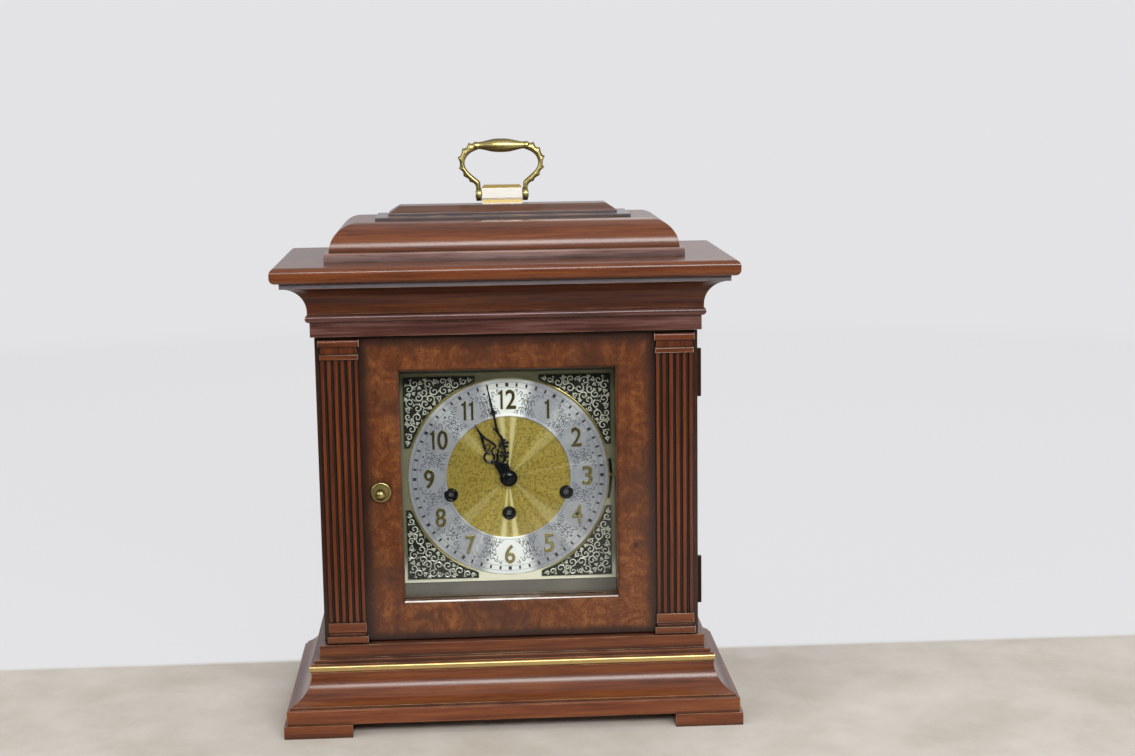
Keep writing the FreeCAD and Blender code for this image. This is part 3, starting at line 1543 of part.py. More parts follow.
def build():
    os.makedirs("parts", exist_ok=True)
    save("feet", feet())
    save("base_fascia", base_fascia())
    save("base_cove", base_cove())
    save("brass_strip", brass_strip())
    save("floor_board", floor_board())
    save("side_panels", side_panels())
    save("back_frame", back_frame())
    save("back_door", back_door())
    save("frieze_board", frieze_board())
    save("cornice_bead", cornice_bead())
    save("cornice_cove", cornice_cove())
    save("cornice_board", cornice_board())
    save("caddy_plinth", caddy_plinth())
    save("dome_mouldings", dome_mouldings())
    save("cap_boards", cap_boards())
    save("handle_block", handle_block())
    save("handle_fixings", handle_fixings())
    save("bail_handle", bail_handle())
    save("door_stiles", door_stiles())
    save("door_rails", door_rails())
    save("pilasters", pilasters())
    save("pilaster_bands", pilaster_bands())
    save("door_glass", door_glass())
    save("glass_beads", glass_beads())
    save("door_knob", door_knob())
    save("door_metalwork", door_metalwork())
    save("case_metalwork", case_metalwork())
    save("dial_frame", dial_frame())
    save("dial_plate", dial_plate())
    save("chapter_ring", chapter_ring())
    save("spandrels", spandrels())
    save("winding_grommets", winding_grommets())
    save("chime_selector", chime_selector())
    save("hour_hand", hour_hand())
    save("minute_hand", minute_hand())
    save("hand_nut", hand_nut())
    save("hour_wheel", hour_wheel())
    save("minute_wheel", minute_wheel())
    save("centre_arbor", centre_arbor())
    save("second_wheel", second_wheel())
    save("third_wheel", third_wheel())
    save("escape_wheel", escape_wheel())
    save("pallet_lever", pallet_lever())
    save("balance_wheel", balance_wheel())
    save("going_barrel", barrel(low_arbor, going_barrel_phase()))
    save("strike_barrel", barrel(left_arbor, 0))
    save("chime_barrel", barrel(right_arbor, 0))
    save("going_winding_arbor", winding_arbor(low_arbor))
    save("strike_winding_arbor", winding_arbor(left_arbor))
    save("chime_winding_arbor", winding_arbor(right_arbor))
    save("movement_plates", movement_plates())
    save("plate_pillars", plate_pillars())
    save("movement_brackets", movement_brackets())
    save("seat_board", seat_board())
    save("chime_drum", chime_drum())
    for index in range(hammer_count):
        save("chime_hammer_" + str(index + 1), hammer(index))
    save("chime_rods", chime_rods())


build()
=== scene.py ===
"""Bracket clock in moulded walnut, with a brass carrying handle and a silvered dial."""
import logging
import math
import random
from collections.abc import Callable
from dataclasses import dataclass, field
from enum import Enum
from functools import partial

import bpy
from mathutils import Matrix, Vector


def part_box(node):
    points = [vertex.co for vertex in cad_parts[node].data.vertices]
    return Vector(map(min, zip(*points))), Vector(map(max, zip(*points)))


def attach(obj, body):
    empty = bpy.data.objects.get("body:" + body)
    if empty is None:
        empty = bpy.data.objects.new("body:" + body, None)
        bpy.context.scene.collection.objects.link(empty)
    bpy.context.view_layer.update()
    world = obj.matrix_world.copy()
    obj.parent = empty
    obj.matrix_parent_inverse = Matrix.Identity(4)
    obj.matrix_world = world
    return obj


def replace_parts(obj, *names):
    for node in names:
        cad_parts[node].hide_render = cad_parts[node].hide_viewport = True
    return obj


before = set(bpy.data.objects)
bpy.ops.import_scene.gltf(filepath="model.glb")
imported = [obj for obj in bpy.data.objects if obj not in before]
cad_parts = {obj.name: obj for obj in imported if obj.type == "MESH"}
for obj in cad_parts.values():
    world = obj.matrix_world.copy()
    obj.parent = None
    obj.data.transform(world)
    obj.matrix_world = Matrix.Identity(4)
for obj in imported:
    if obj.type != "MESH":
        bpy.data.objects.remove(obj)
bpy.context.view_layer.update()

log = logging.getLogger("clock")

Node = bpy.types.Node
Socket = bpy.types.NodeSocket
Piece = bpy.types.Object
Adder = Callable[..., Node]  # add_node for one material
Colour = tuple[float, float, float, float]
Point = tuple[float, float]
Place = tuple[float, float, float]

# names of input values, in the order that the tables of numbers have
RANGE = ("From Min", "From Max", "To Min", "To Max")
NOISE = ("Scale", "Detail", "Roughness", "Distortion")
COLOURS = {"data_type": "RGBA"}  # a mix of two colours
SMOOTH = {"interpolation_type": "SMOOTHSTEP"}  # a range with soft ends
ABSOLUTE, MULTIPLY, MAXIMUM, SUBTRACT, GREATER_THAN = (
    {"operation": way} for way in ("ABSOLUTE", "MULTIPLY", "MAXIMUM", "SUBTRACT", "GREATER_THAN")
)

WALL = "#e3e3e5"  # the pale wall behind the table
ROOM = "#454740"  # the dim room in front of it, which only shiny faces show

DIAL_Z = 164.95  # height of the dial's centre, in mm
DIAL_FACE = -14.2  # front of the dial plate
RING_FACE = -15.2  # front of the silvered ring


def linear(code: str) -> Colour:
    """Turns an sRGB hex colour to linear light.

    Args:
        code: The colour, such as "#6b3a22".

    Returns:
        Red, green, blue and alpha, each from 0 to 1.
    """
    parts = [int(code[i : i + 2], 16) / 255 for i in (1, 3, 5)]
    light = [p / 12.92 if p <= 0.04045 else ((p + 0.055) / 1.055) ** 2.4 for p in parts]
    return (light[0], light[1], light[2], 1.0)


def per(size: float) -> float:
    """Pattern scale, per metre, for a feature of this size in mm."""
    return 1000.0 / size


def feed(node: Node, values: dict | None = None, links: dict | None = None) -> None:
    """Sets a node's input values and links.

    Args:
        node: The node to feed.
        values: Input values by name or number.
        links: Input name or number to the output that feeds it, or to a node that feeds it by the
            first output in use.
    """
    for name, value in (values or {}).items():
        node.inputs[name].default_value = value
    for name, source in (links or {}).items():
        if isinstance(source, Node):
            source = next(output for output in source.outputs if output.enabled)
        node.id_data.links.new(source, node.inputs[name])


def add_node(
    tree: bpy.types.NodeTree,
    kind: str,
    settings: dict | None = None,
    values: dict | None = None,
    links: dict | None = None,
    stops: list[tuple[float, str]] | None = None,
) -> Node:
    """Adds one shader node with its settings, input values and links.

    Args:
        tree: The material's node tree.
        kind: Blender's name of the node, without its prefix.
        settings: Attributes of the node.
        values: Input values, as for feed.
        links: Input links, as for feed.
        stops: Places and hex colours, where the node is a colour ramp.

    Returns:
        The new node.
    """
    node = tree.nodes.new("ShaderNode" + kind)
    for name, value in (settings or {}).items():
        setattr(node, name, value)
    feed(node, values, links)
    if stops:
        elements = node.color_ramp.elements
        while len(elements) < len(stops):
            elements.new(1.0)
        for element, (place, code) in zip(elements, stops):
            element.position = place
            element.color = linear(code)
    return node


class Grain(Enum):
    """The way the grain runs along a member."""

    ACROSS = "left to right"
    UP = "bottom to top"
    AROUND = "along each side of a mitred moulding"


@dataclass(frozen=True)
class Finish:
    """A surface finish, made once and shared by the pieces that have it."""

    name: str

    def wire(self, add: Adder, shader: Node) -> None:
        """Wires the pattern to the shader, in each kind of finish."""
        raise NotImplementedError

    def material(self) -> bpy.types.Material:
        """Makes this finish's material on first use.

        Returns:
            The material.
        """
        name = f"finish_{self.name}"
        made = bpy.data.materials.get(name)
        if made:
            return made
        made = bpy.data.materials.new(name)
        made.use_nodes = True
        tree = made.node_tree
        tree.nodes.clear()
        add = partial(add_node, tree)
        shader = add("BsdfPrincipled")
        add("OutputMaterial", links={"Surface": shader})
        self.wire(add, shader)
        return made


@dataclass(frozen=True)
class LacqueredWood(Finish):
    """Toned walnut, glazed and wiped back, then sprayed with semi-gloss lacquer: straight
    streaks along the member, short dark pores, hollows darkened by glazing and painted shade,
    and paler arrises from wear and painted highlight."""

    grain: Grain = Grain.ACROSS
    dark: str = "#371709"
    middle: str = "#5d2d13"
    pale: str = "#77421f"
    rubbed: str = "#c49a70"
    rub: float = 0.85  # how much of the pale colour shows on an arris, for wear and painted highlight
    streak_mm: float = 5.0
    fibre_mm: float = 0.9  # real fibres are finer, and are drawn wide enough to show
    pore_mm: float = 0.7
    along: float = 22.0  # how many times longer a streak is than it is wide
    pore_along: float = 11.0  # the same for pores
    rub_along: float = 1.5  # and for stretches of arris with wear and painted highlight
    rub_mm: float = 14.0  # length of a stretch of arris with wear and painted highlight
    coat: float = 0.6
    bloom: str = "#6f6b72"
    bloom_band: Point | None = None  # heights between which a grey-blue painted sheen lies on the lacquer
    glaze: str = "#150806"
    glaze_reach_mm: float = 7.0  # how deep a hollow gets glazing and painted shade
    arris_mm: float = 0.8  # radius of the rounded arris, which carries the wear and painted highlight

    def lengthwise(self, add: Adder) -> Socket:
        """Coordinates in metres whose first axis runs with the grain.

        Args:
            add: Adds a node to the material.

        Returns:
            The coordinates' socket.
        """
        place = add("TexCoord")
        split = add("SeparateXYZ", links={0: place.outputs["Object"]})
        x, y, z = split.outputs
        order = {Grain.ACROSS: (x, y, z), Grain.UP: (z, x, y)}
        if self.grain is not Grain.AROUND:
            first, second, third = order[self.grain]
        else:
            facing = add("SeparateXYZ", links={0: place.outputs["Normal"]})
            sizes = [add("Math", ABSOLUTE, links={0: facing.outputs[i]}) for i in (0, 1)]
            side = add("Math", GREATER_THAN, links={0: sizes[0], 1: sizes[1]})
            first, second = [add("Mix", links={0: side, 2: a, 3: b}) for a, b in ((x, y), (y, x))]
            third = z
        return add("CombineXYZ", links={0: first, 1: second, 2: third}).outputs[0]

    def streaks(self, add: Adder, grain: Socket, width: float, longer: float) -> Node:
        """Noise drawn out along the grain.

        Args:
            add: Adds a node to the material.
            grain: Coordinates along the grain.
            width: Width of a streak in mm.
            longer: Length of a streak as a multiple of its width.

        Returns:
            The noise node.
        """
        stretched = add(
            "Mapping",
            values={"Scale": (per(width * longer), per(width), per(width))},
            links={"Vector": grain},
        )
        return add("TexNoise", values=dict(zip(NOISE, (1.0, 3.0, 0.55, 0.25))), links={"Vector": stretched})

    def figure(self, add: Adder, grain: Socket) -> Socket:
        """The wood's colour before pores and wear.

        Args:
            add: Adds a node to the material.
            grain: Coordinates along the grain.

        Returns:
            The colour's socket.
        """
        broad = self.streaks(add, grain, self.streak_mm, self.along)
        fine = self.streaks(add, grain, self.fibre_mm, self.along * 1.6)
        both = add("Mix", values={0: 0.42}, links={2: broad, 3: fine})
        return add(
            "ValToRGB", links={0: both}, stops=[(0.3, self.dark), (0.48, self.middle), (0.7, self.pale)]
        ).outputs[0]

    def bloomed(self, add: Adder, colour: Socket) -> Socket:
        """The wood's colour with the painted sheen over its band, if it has one.

        Args:
            add: Adds a node to the material.
            colour: The wood's colour.

        Returns:
            The colour's socket.
        """
        if self.bloom_band is None:
            return colour
        low, high = self.bloom_band
        place = add("TexCoord").outputs["Object"]
        split = add("SeparateXYZ", links={0: place})
        within = add(
            "Math",
            {"operation": "COMPARE"},
            {1: (low + high) / 2000, 2: (high - low) / 2000},
            {0: split.outputs[2]},
        )
        # a band of painted sheen, grey-blue over the brown
        share = add("Math", MULTIPLY, {1: 0.75}, {0: within})
        return add("Mix", COLOURS, {7: linear(self.bloom)}, {0: share, 6: colour}).outputs[2]

    def wire(self, add: Adder, shader: Node) -> None:
        """Wires the figure, pores, hollows darkened by glazing and painted shade, and arrises paled by wear
        and painted highlight.

        Args:
            add: Adds a node to the material.
            shader: The shader to feed.
        """
        grain = self.lengthwise(add)
        colour = self.bloomed(add, self.figure(add, grain))
        pores = self.streaks(add, grain, self.pore_mm, self.pore_along)
        stretches = self.streaks(add, grain, self.rub_mm, self.rub_along)
        hollow = add("AmbientOcclusion", {"samples": 6}, {"Distance": self.glaze_reach_mm / 1000})
        rounded = add("Bevel", {"samples": 4}, {"Radius": self.arris_mm / 1000})
        straight = add("NewGeometry").outputs["Normal"]
        edge = add("VectorMath", {"operation": "DOT_PRODUCT"}, links={0: rounded, 1: straight})
        # hollows are darkened by glazing and painted shade, and arrises paled by wear and painted highlight
        pored, glazed_and_shaded, worn, patchy = [
            add("MapRange", values=dict(zip(RANGE, ends)), links={0: source})
            for ends, source in (
                ((0.6, 0.7, 0.0, 0.55), pores), ((0.35, 0.92, 0.95, 0.0), hollow.outputs["AO"]),
                ((0.82, 0.99, self.rub, 0.0), edge.outputs["Value"]), ((0.38, 0.62, 0.15, 1.0), stretches),
            )
        ]
        rubbed = add("Math", MULTIPLY, links={0: worn, 1: patchy})
        for code, mask in ((self.dark, pored), (self.glaze, glazed_and_shaded), (self.rubbed, rubbed)):
            colour = add("Mix", COLOURS, {7: linear(code)}, {0: mask, 6: colour})
        bump = add(
            "Bump",
            values={"Strength": 0.16, "Distance": 0.0003},
            links={"Height": pores, "Normal": rounded},
        )
        sheen = add("MapRange", values={"To Min": 0.30, "To Max": 0.46}, links={0: pores})
        feed(
            shader,
            {"Coat Weight": self.coat, "Coat Roughness": 0.19, "Specular IOR Level": 0.16, "IOR": 1.5},
            {"Base Color": colour, "Roughness": sheen, "Normal": bump},
        )


@dataclass(frozen=True)
class FlutedWalnut(LacqueredWood):
    """Walnut pilaster whose flutes and returns are painted dark with shade, behind its bare face."""

    face_y: float = -50.1
    flute_glaze: str = "#160804"
    glaze_start: float = 0.05  # how far behind the face the painted shade begins
    glaze_depth: float = 0.45  # how far behind the face it is full

    def figure(self, add: Adder, grain: Socket) -> Socket:
        """The walnut's figure with painted shade in the flutes.

        Args:
            add: Adds a node to the material.
            grain: Coordinates along the grain.

        Returns:
            The colour's socket.
        """
        wood = super().figure(add, grain)
        place = add("TexCoord").outputs["Object"]
        split = add("SeparateXYZ", links={0: place})
        start, full = [(self.face_y + depth) / 1000 for depth in (self.glaze_start, self.glaze_depth)]
        # everything behind the pilaster's face gets painted shade, full a little way in
        depth = add("MapRange", SMOOTH, dict(zip(RANGE, (start, full, 0.0, 0.88))), {0: split.outputs[1]})
        return add("Mix", COLOURS, {7: linear(self.flute_glaze)}, {0: depth, 6: wood}).outputs[2]


@dataclass(frozen=True)
class BurlVeneer(LacqueredWood):
    """Sliced burl veneer under gloss lacquer: clouded brown with eyes, small dark knots and a
    soft flame that rises with the door, inside a darker band along its edges: toner, with painted shade
    under the frieze and beside the pilasters."""

    cloud_mm: float = 17.0
    eye_mm: float = 5.0
    flame_mm: float = 11.0
    flame_along: float = 5.0
    knot_mm: float = 30.0
    patch_mm: float = 42.0
    knot: str = "#23100b"
    patch: str = "#3d2219"
    crossband: str = "#2c1913"
    band_sides: Point = (90.0, 98.5)  # each pair: where the darker edge band starts and where it is full
    band_top: Point = (259.0, 268.0)
    band_foot: Point = (66.5, 61.0)
    veneer_back: float = -45.4  # behind this y the door is plain walnut

    def figure(self, add: Adder, grain: Socket) -> Socket:
        """The burl's clouds, eyes, knots and darker edge band of toner and painted shade.

        Args:
            add: Adds a node to the material.
            grain: Coordinates along the grain.

        Returns:
            The colour's socket.
        """
        place = add("TexCoord").outputs["Object"]
        flame = self.streaks(add, grain, self.flame_mm, self.flame_along)
        clouds, eyes = [
            add("TexNoise", values=dict(zip(NOISE, (per(size), 5.0, 0.62, bend))), links={"Vector": place})
            for size, bend in ((self.cloud_mm, 2.2), (self.eye_mm, 4.0))
        ]
        mottle = add("Mix", values={0: 0.45}, links={2: clouds, 3: eyes})
        mixed = add("Mix", values={0: 0.22}, links={2: mottle, 3: flame})
        colour = add(
            "ValToRGB", links={0: mixed}, stops=[(0.3, self.dark), (0.48, self.middle), (0.66, self.pale)]
        )
        patches = add(
            "TexNoise",
            values=dict(zip(NOISE, (per(self.patch_mm), 3.0, 0.6, 1.2))),
            links={"Vector": place},
        )
        knots = add(
            "TexVoronoi", values={"Scale": per(self.knot_mm), "Randomness": 1.0}, links={"Vector": place}
        )
        patched, knotted = [
            add("MapRange", values=dict(zip(RANGE, ends)), links={0: source})
            for ends, source in (
                ((0.46, 0.64, 0.0, 0.62), patches), ((0.03, 0.1, 0.8, 0.0), knots.outputs["Distance"])
            )
        ]
        split = add("SeparateXYZ", links={0: place})
        sideways = add("Math", ABSOLUTE, links={0: split})
        # the darker edge band: toner, with painted shade under the frieze and beside the pilasters
        band, top, foot = [
            add("MapRange", SMOOTH, dict(zip(RANGE, (start / 1000, full / 1000, 0.0, 0.85))), {0: output})
            for output, (start, full) in (
                (sideways, self.band_sides),
                (split.outputs[2], self.band_top),
                (split.outputs[2], self.band_foot),
            )
        ]
        for other in (top, foot):
            band = add("Math", MAXIMUM, links={0: band, 1: other})
        for code, mask in ((self.patch, patched), (self.knot, knotted), (self.crossband, band)):
            colour = add("Mix", COLOURS, {7: linear(code)}, {0: mask, 6: colour})
        back = add("Math", GREATER_THAN, {1: self.veneer_back / 1000}, {0: split.outputs[1]})
        return add("Mix", COLOURS, links={0: back, 6: colour, 7: super().figure(add, grain)}).outputs[2]


@dataclass(frozen=True)
class Metal(Finish):
    """Cast or drawn metal, polished or satin, with a faint haze of handling, brown tarnished
    hollows where no cloth reaches, and painted shade on faces that look up or down."""

    colour: str = "#cda659"
    tarnish: str = "#6a4c20"
    roughness: float = 0.2
    haze_mm: float = 6.0
    hollow_mm: float = 2.5
    hollow_weight: float = 0.75
    up_down: float = 0.0  # painted shade on faces that look up or down
    leaning: float = 0.95  # upward share of a face's direction where that painted shade is full
    metallic: float = 1.0

    def wire(self, add: Adder, shader: Node) -> None:
        """Wires tarnished hollows, painted shade on faces that look up or down, and a hazy roughness.

        Args:
            add: Adds a node to the material.
            shader: The shader to feed.
        """
        place = add("TexCoord").outputs["Object"]
        haze = add(
            "TexNoise", values=dict(zip(NOISE, (per(self.haze_mm), 4.0, 0.6))), links={"Vector": place}
        )
        cloud = add("Math", MULTIPLY, {1: 0.22}, {0: haze})
        for mark in self.marks(add):
            cloud = add("Math", MAXIMUM, links={0: cloud, 1: mark})
        colour = add("Mix", COLOURS, {6: linear(self.colour), 7: linear(self.tarnish)}, {0: cloud})
        rough = add(
            "MapRange",
            values={"To Min": self.roughness * 0.85, "To Max": self.roughness * 1.2},
            links={0: haze},
        )
        feed(shader, {"Metallic": self.metallic}, {"Base Color": colour, "Roughness": rough})

    def marks(self, add: Adder) -> list[Node]:
        """Where the darker colour goes: tarnished hollows, and painted shade on faces that look up or down.

        Args:
            add: Adds a node to the material.

        Returns:
            The nodes that hold the masks.
        """
        found = []
        if self.hollow_weight:
            hollow = add("AmbientOcclusion", {"samples": 6}, {"Distance": self.hollow_mm / 1000})
            found.append(
                add(
                    "MapRange",
                    values=dict(zip(RANGE, (0.2, 0.95, self.hollow_weight, 0.0))),
                    links={0: hollow.outputs["AO"]},
                )
            )
        # faces that look up or down get painted shade
        if self.up_down:
            facing = add("SeparateXYZ", links={0: add("TexCoord").outputs["Normal"]})
            tilt = add("Math", ABSOLUTE, links={0: facing.outputs[2]})
            found.append(
                add(
                    "MapRange",
                    SMOOTH,
                    dict(zip(RANGE, (self.leaning / 3, self.leaning, 0.0, self.up_down))),
                    {0: tilt},
                )
            )
        return found


@dataclass(frozen=True)
class TurnedPlate(Finish):
    """Sheet metal brushed from its centre outwards on a turntable: fine rays, broad wedges of painted
    highlight above and below the centre, a speckled matt with painted shade at the sides, and a
    painted reflection on the lower border."""

    shadow: str = "#7d6524"
    colour: str = "#b59a3c"
    # the pale end of the rays' colours, also the colour of the painted highlight
    light: str = "#f2e3a0"
    rays: float = 38.0  # waves in a turn, as coarse as shows at the dial's size
    speckle_mm: float = 0.9
    wedge: float = 0.9
    wedge_width: float = 0.12  # as a sine of the angle from the upright
    wedge_core: float = 0.015  # half the fully bright width, as a sine too
    ray_offset: float = 0.10  # how far a painted highlight ray stands off the upright, as a sine too
    corner: float = 0.0  # brightness of the fainter painted highlight rays towards the four corners
    corner_span: Point = (0.484, 0.4995)  # sine times cosine where such a ray starts and is full
    speck: str = "#6b5a22"
    speckle: float = 0.0  # how much of the speck colour shows
    border: str = "#aea98a"
    # the colour of the painted reflection on the border's lower part
    foot: str = "#fff8e0"
    border_mm: float = 70.8  # beyond this radius the plate is plain and polished
    foot_mm: float = 54.0  # from here down the border has a painted reflection of the pale table
    roughness: float = 0.34
    metallic: float = 1.0

    def wire(self, add: Adder, shader: Node) -> None:
        """Wires the rays, the painted highlight wedges, the painted shade at the sides and the speckle
        round the dial's centre, and the painted reflection on the lower border.

        Args:
            add: Adds a node to the material.
            shader: The shader to feed.
        """
        place = add("TexCoord").outputs["Object"]
        centred = add("VectorMath", SUBTRACT, {1: (0.0, 0.0, DIAL_Z / 1000)}, {0: place})
        flat = add("VectorMath", MULTIPLY, {1: (1.0, 0.0, 1.0)}, {0: centred})
        round_way = add("VectorMath", {"operation": "NORMALIZE"}, links={0: flat})
        way = add("SeparateXYZ", links={0: round_way})
        rays, broad = [
            add("TexNoise", values=dict(zip(NOISE, (scale, detail, 0.7))), links={"Vector": round_way})
            for scale, detail in ((self.rays, 4.0), (3.4, 1.0))
        ]
        speckle = add(
            "TexNoise", values=dict(zip(NOISE, (per(self.speckle_mm), 2.0, 0.7))), links={"Vector": place}
        )
        sideways = add("Math", ABSOLUTE, links={0: way})
        # two narrow rays of painted highlight stand each side of the upright through the centre
        off_ray = add("Math", SUBTRACT, {1: self.ray_offset}, {0: sideways})
        off_size = add("Math", ABSOLUTE, links={0: off_ray})
        slant = add("Math", MULTIPLY, links={0: way, 1: way.outputs[2]})
        slant_size = add("Math", ABSOLUTE, links={0: slant})
        height = add("SeparateXYZ", links={0: flat}).outputs[2]
        # the sides of the plate are darkened with painted shade
        bright, corner_rays, matt, lowness = [
            add("MapRange", SMOOTH, dict(zip(RANGE, ends)), {0: source})
            for ends, source in (
                ((self.wedge_core, self.wedge_width, self.wedge, 0.0), off_size),
                ((*self.corner_span, 0.0, self.corner), slant_size),
                ((0.55, 1.0, 0.0, 0.45), sideways),
                ((-self.foot_mm / 1000, -self.border_mm / 1000), height),
            )
        ]
        share = dict(zip(RANGE, (0.48, 0.58, 0.0, self.speckle)))
        specks = add("MapRange", values=share, links={0: speckle})
        highlight_rays = add("Math", MAXIMUM, links={0: bright, 1: corner_rays})
        reach = add("VectorMath", {"operation": "LENGTH"}, links={0: flat}).outputs["Value"]
        outside = add("Math", GREATER_THAN, {1: self.border_mm / 1000}, {0: reach})
        # the lower border takes a painted reflection, and loses some of its metal there
        painted_foot_reflection = add("Math", MULTIPLY, links={0: lowness, 1: outside})
        grainy = add("Mix", values={0: 0.45}, links={2: rays, 3: speckle})
        uneven = add("Mix", values={0: 0.4}, links={2: grainy, 3: broad})
        stops = [(0.36, self.shadow), (0.56, self.colour), (0.72, self.light)]
        colour = add("ValToRGB", links={0: uneven}, stops=stops)
        for code, mask in (
            (self.shadow, matt), (self.speck, specks), (self.light, highlight_rays), (self.border, outside),
            (self.foot, painted_foot_reflection),
        ):
            colour = add("Mix", COLOURS, {7: linear(code)}, {0: mask, 6: colour})
        rough = add("MapRange", values={"To Min": self.roughness, "To Max": 0.12}, links={0: outside})
        metal_share = add("MapRange", values={"To Min": self.metallic, "To Max": 0.0}, links={0: painted_foot_reflection})
        feed(shader, links={"Base Color": colour, "Roughness": rough, "Metallic": metal_share})


@dataclass(frozen=True)
class Enamel(Finish):
    """Sprayed or printed colour on metal: even, with a faint unevenness of the coat."""

    colour: str = "#0d0d10"
    second: str = "#1c1c22"
    roughness: float = 0.25
    patch_mm: float = 3.0
    metallic: float = 0.0
    shine: float = 0.5

    def wire(self, add: Adder, shader: Node) -> None:
        """Wires a faint cloud of the second colour.

        Args:
            add: Adds a node to the material.
            shader: The shader to feed.
        """
        place = add("TexCoord").outputs["Object"]
        cloud = add("TexNoise", values=dict(zip(NOISE, (per(self.patch_mm), 4.0))), links={"Vector": place})
        colour = add("ValToRGB", links={0: cloud}, stops=[(0.4, self.colour), (0.62, self.second)])
        shine = {"Roughness": self.roughness, "Metallic": self.metallic, "Specular IOR Level": self.shine}
        feed(shader, shine, {"Base Color": colour})


@dataclass(frozen=True)
class WindowGlass(Finish):
    """Thin float glass: clear, with a sharp reflection that grows towards its edges."""

    tint: str = "#fafcfb"
    straight_on: float = 0.02  # share reflected looking straight at it, a face at a time
    along_it: float = 0.6
    smear_mm: float = 30.0

    def wire(self, add: Adder, shader: Node) -> None:
        """Lets through what is behind the pane, with a reflection over it.

        Args:
            add: Adds a node to the material.
            shader: The shader to feed.
        """
        through = add("BsdfTransparent", values={"Color": linear(self.tint)})
        smear = add(
            "TexNoise",
            values=dict(zip(NOISE, (per(self.smear_mm), 3.0))),
            links={"Vector": add("TexCoord").outputs["Object"]},
        )
        rough = add("MapRange", values={"To Min": 0.01, "To Max": 0.06}, links={0: smear})
        mirror = add("BsdfAnisotropic", links={"Roughness": rough})
        facing = add("LayerWeight", values={"Blend": 0.2})
        share = add(
            "MapRange",
            values={"To Min": self.straight_on, "To Max": self.along_it},
            links={0: facing.outputs["Facing"]},
        )
        pane = add("MixShader", links={0: share, 1: through, 2: mirror})
        (output,) = [n for n in shader.id_data.nodes if n.type == "OUTPUT_MATERIAL"]
        feed(output, links={"Surface": pane})
        shader.id_data.nodes.remove(shader)


@dataclass(frozen=True)
class Workshop(Finish):
    """Painted wall and worn table top, joined behind the clock: matt, pale and plain."""

    table: str = "#c8c2b9"
    worn: str = "#bbb3a7"
    scrubbed: str = "#d2ccc3"
    patch_mm: float = 90.0
    join_mm: float = 96.0  # the y of the join, and half the width of its soft edge
    join_soft: float = 6.0
    near_mm: float = -550.0  # the table's near edge, which only reflections show, likewise
    near_soft: float = 80.0
    near_slant: float = 1.5  # the near edge lies further out towards the right
    wall_share: float = 0.9  # the rest still takes the clock's shadow
    far: Point = (0.7, 2.2)  # metres out, between which the table's colour gives way to the wall's

    def wire(self, add: Adder, shader: Node) -> None:
        """Wires the table's colour up to the join and the wall's beyond it.

        Args:
            add: Adds a node to the material.
            shader: The shader to feed.
        """
        place = add("TexCoord").outputs["Object"]
        split = add("SeparateXYZ", links={0: place})
        ends = [(self.join_mm + way * self.join_soft) / 1000 for way in (-1, 1)]
        beyond = add("MapRange", SMOOTH, dict(zip(RANGE, ends)), {0: split.outputs[1]})
        patches = add(
            "TexNoise", values=dict(zip(NOISE, (per(self.patch_mm), 6.0, 0.65))), links={"Vector": place}
        )
        table = add(
            "ValToRGB",
            links={0: patches},
            stops=[(0.35, self.worn), (0.55, self.table), (0.72, self.scrubbed)],
        )
        both = add("Mix", COLOURS, {7: linear(WALL)}, {0: beyond, 6: table})
        feed(shader, {"Roughness": 0.85}, {"Base Color": both})
        # the wall's colour takes over beyond the join and far out on the table
        reach = add("VectorMath", {"operation": "LENGTH"}, links={0: place})
        far = add("MapRange", SMOOTH, dict(zip(RANGE, self.far)), {0: reach.outputs["Value"]})
        behind = add("Math", MULTIPLY, {1: self.wall_share}, {0: beyond})
        rays = add("LightPath")
        slanted = add(
            "Math", {"operation": "MULTIPLY_ADD"}, {1: self.near_slant}, {0: split, 2: split.outputs[1]}
        )
        ends = [(self.near_mm + way * self.near_soft) / 1000 for way in (1, -1)]
        before = add("MapRange", SMOOTH, dict(zip(RANGE, ends)), {0: slanted})
        mirrored = add("Math", MULTIPLY, links={0: before, 1: rays.outputs["Is Glossy Ray"]})
        plain = behind
        for other in (far, mirrored):
            plain = add("Math", MAXIMUM, links={0: plain, 1: other})
        seen = rays.outputs["Is Camera Ray"]
        for kind in ("Is Glossy Ray", "Is Transmission Ray"):
            seen = add("Math", MAXIMUM, links={0: seen, 1: rays.outputs[kind]})
        share = add("Math", MULTIPLY, links={0: plain, 1: seen})
        distance = add("Mix", COLOURS, {6: linear(WALL), 7: linear(ROOM)}, {0: mirrored})
        glow = add("Emission", values={"Strength": 1.0}, links={"Color": distance})
        surface = add("MixShader", links={0: share, 1: shader, 2: glow})
        (output,) = [n for n in shader.id_data.nodes if n.type == "OUTPUT_MATERIAL"]
        feed(output, links={"Surface": surface})


# toned walnut under lacquer, by the way the grain runs: warm brown, with soft highlights on its noses
WALNUT_UP = LacqueredWood("lacquered_walnut_upright", Grain.UP)
WALNUT_AROUND = LacqueredWood("lacquered_walnut_mitred", Grain.AROUND)
# the base's walnut was toned less, and is redder and a little paler than the case
BASE = LacqueredWood("lacquered_walnut_base", Grain.AROUND, "#3d1a0b", "#673319", "#834b27")
# moulded bands across the pilasters, with a pale line of wear and painted highlight all along their arrises
BANDS = LacqueredWood("lacquered_walnut_bands", Grain.ACROSS, rubbed="#e0cdb8", rub=1.0, rub_mm=30.0)
# the cornice's hollow is coloured darker than the case, and has a band of painted sheen under the board
COVE_COLOURS = ("#220d07", "#3d1c0f", "#5a3018")
COVE = LacqueredWood(
    "lacquered_walnut_cove", Grain.AROUND, *COVE_COLOURS, coat=0.35, bloom_band=(306.8, 310.4)
)
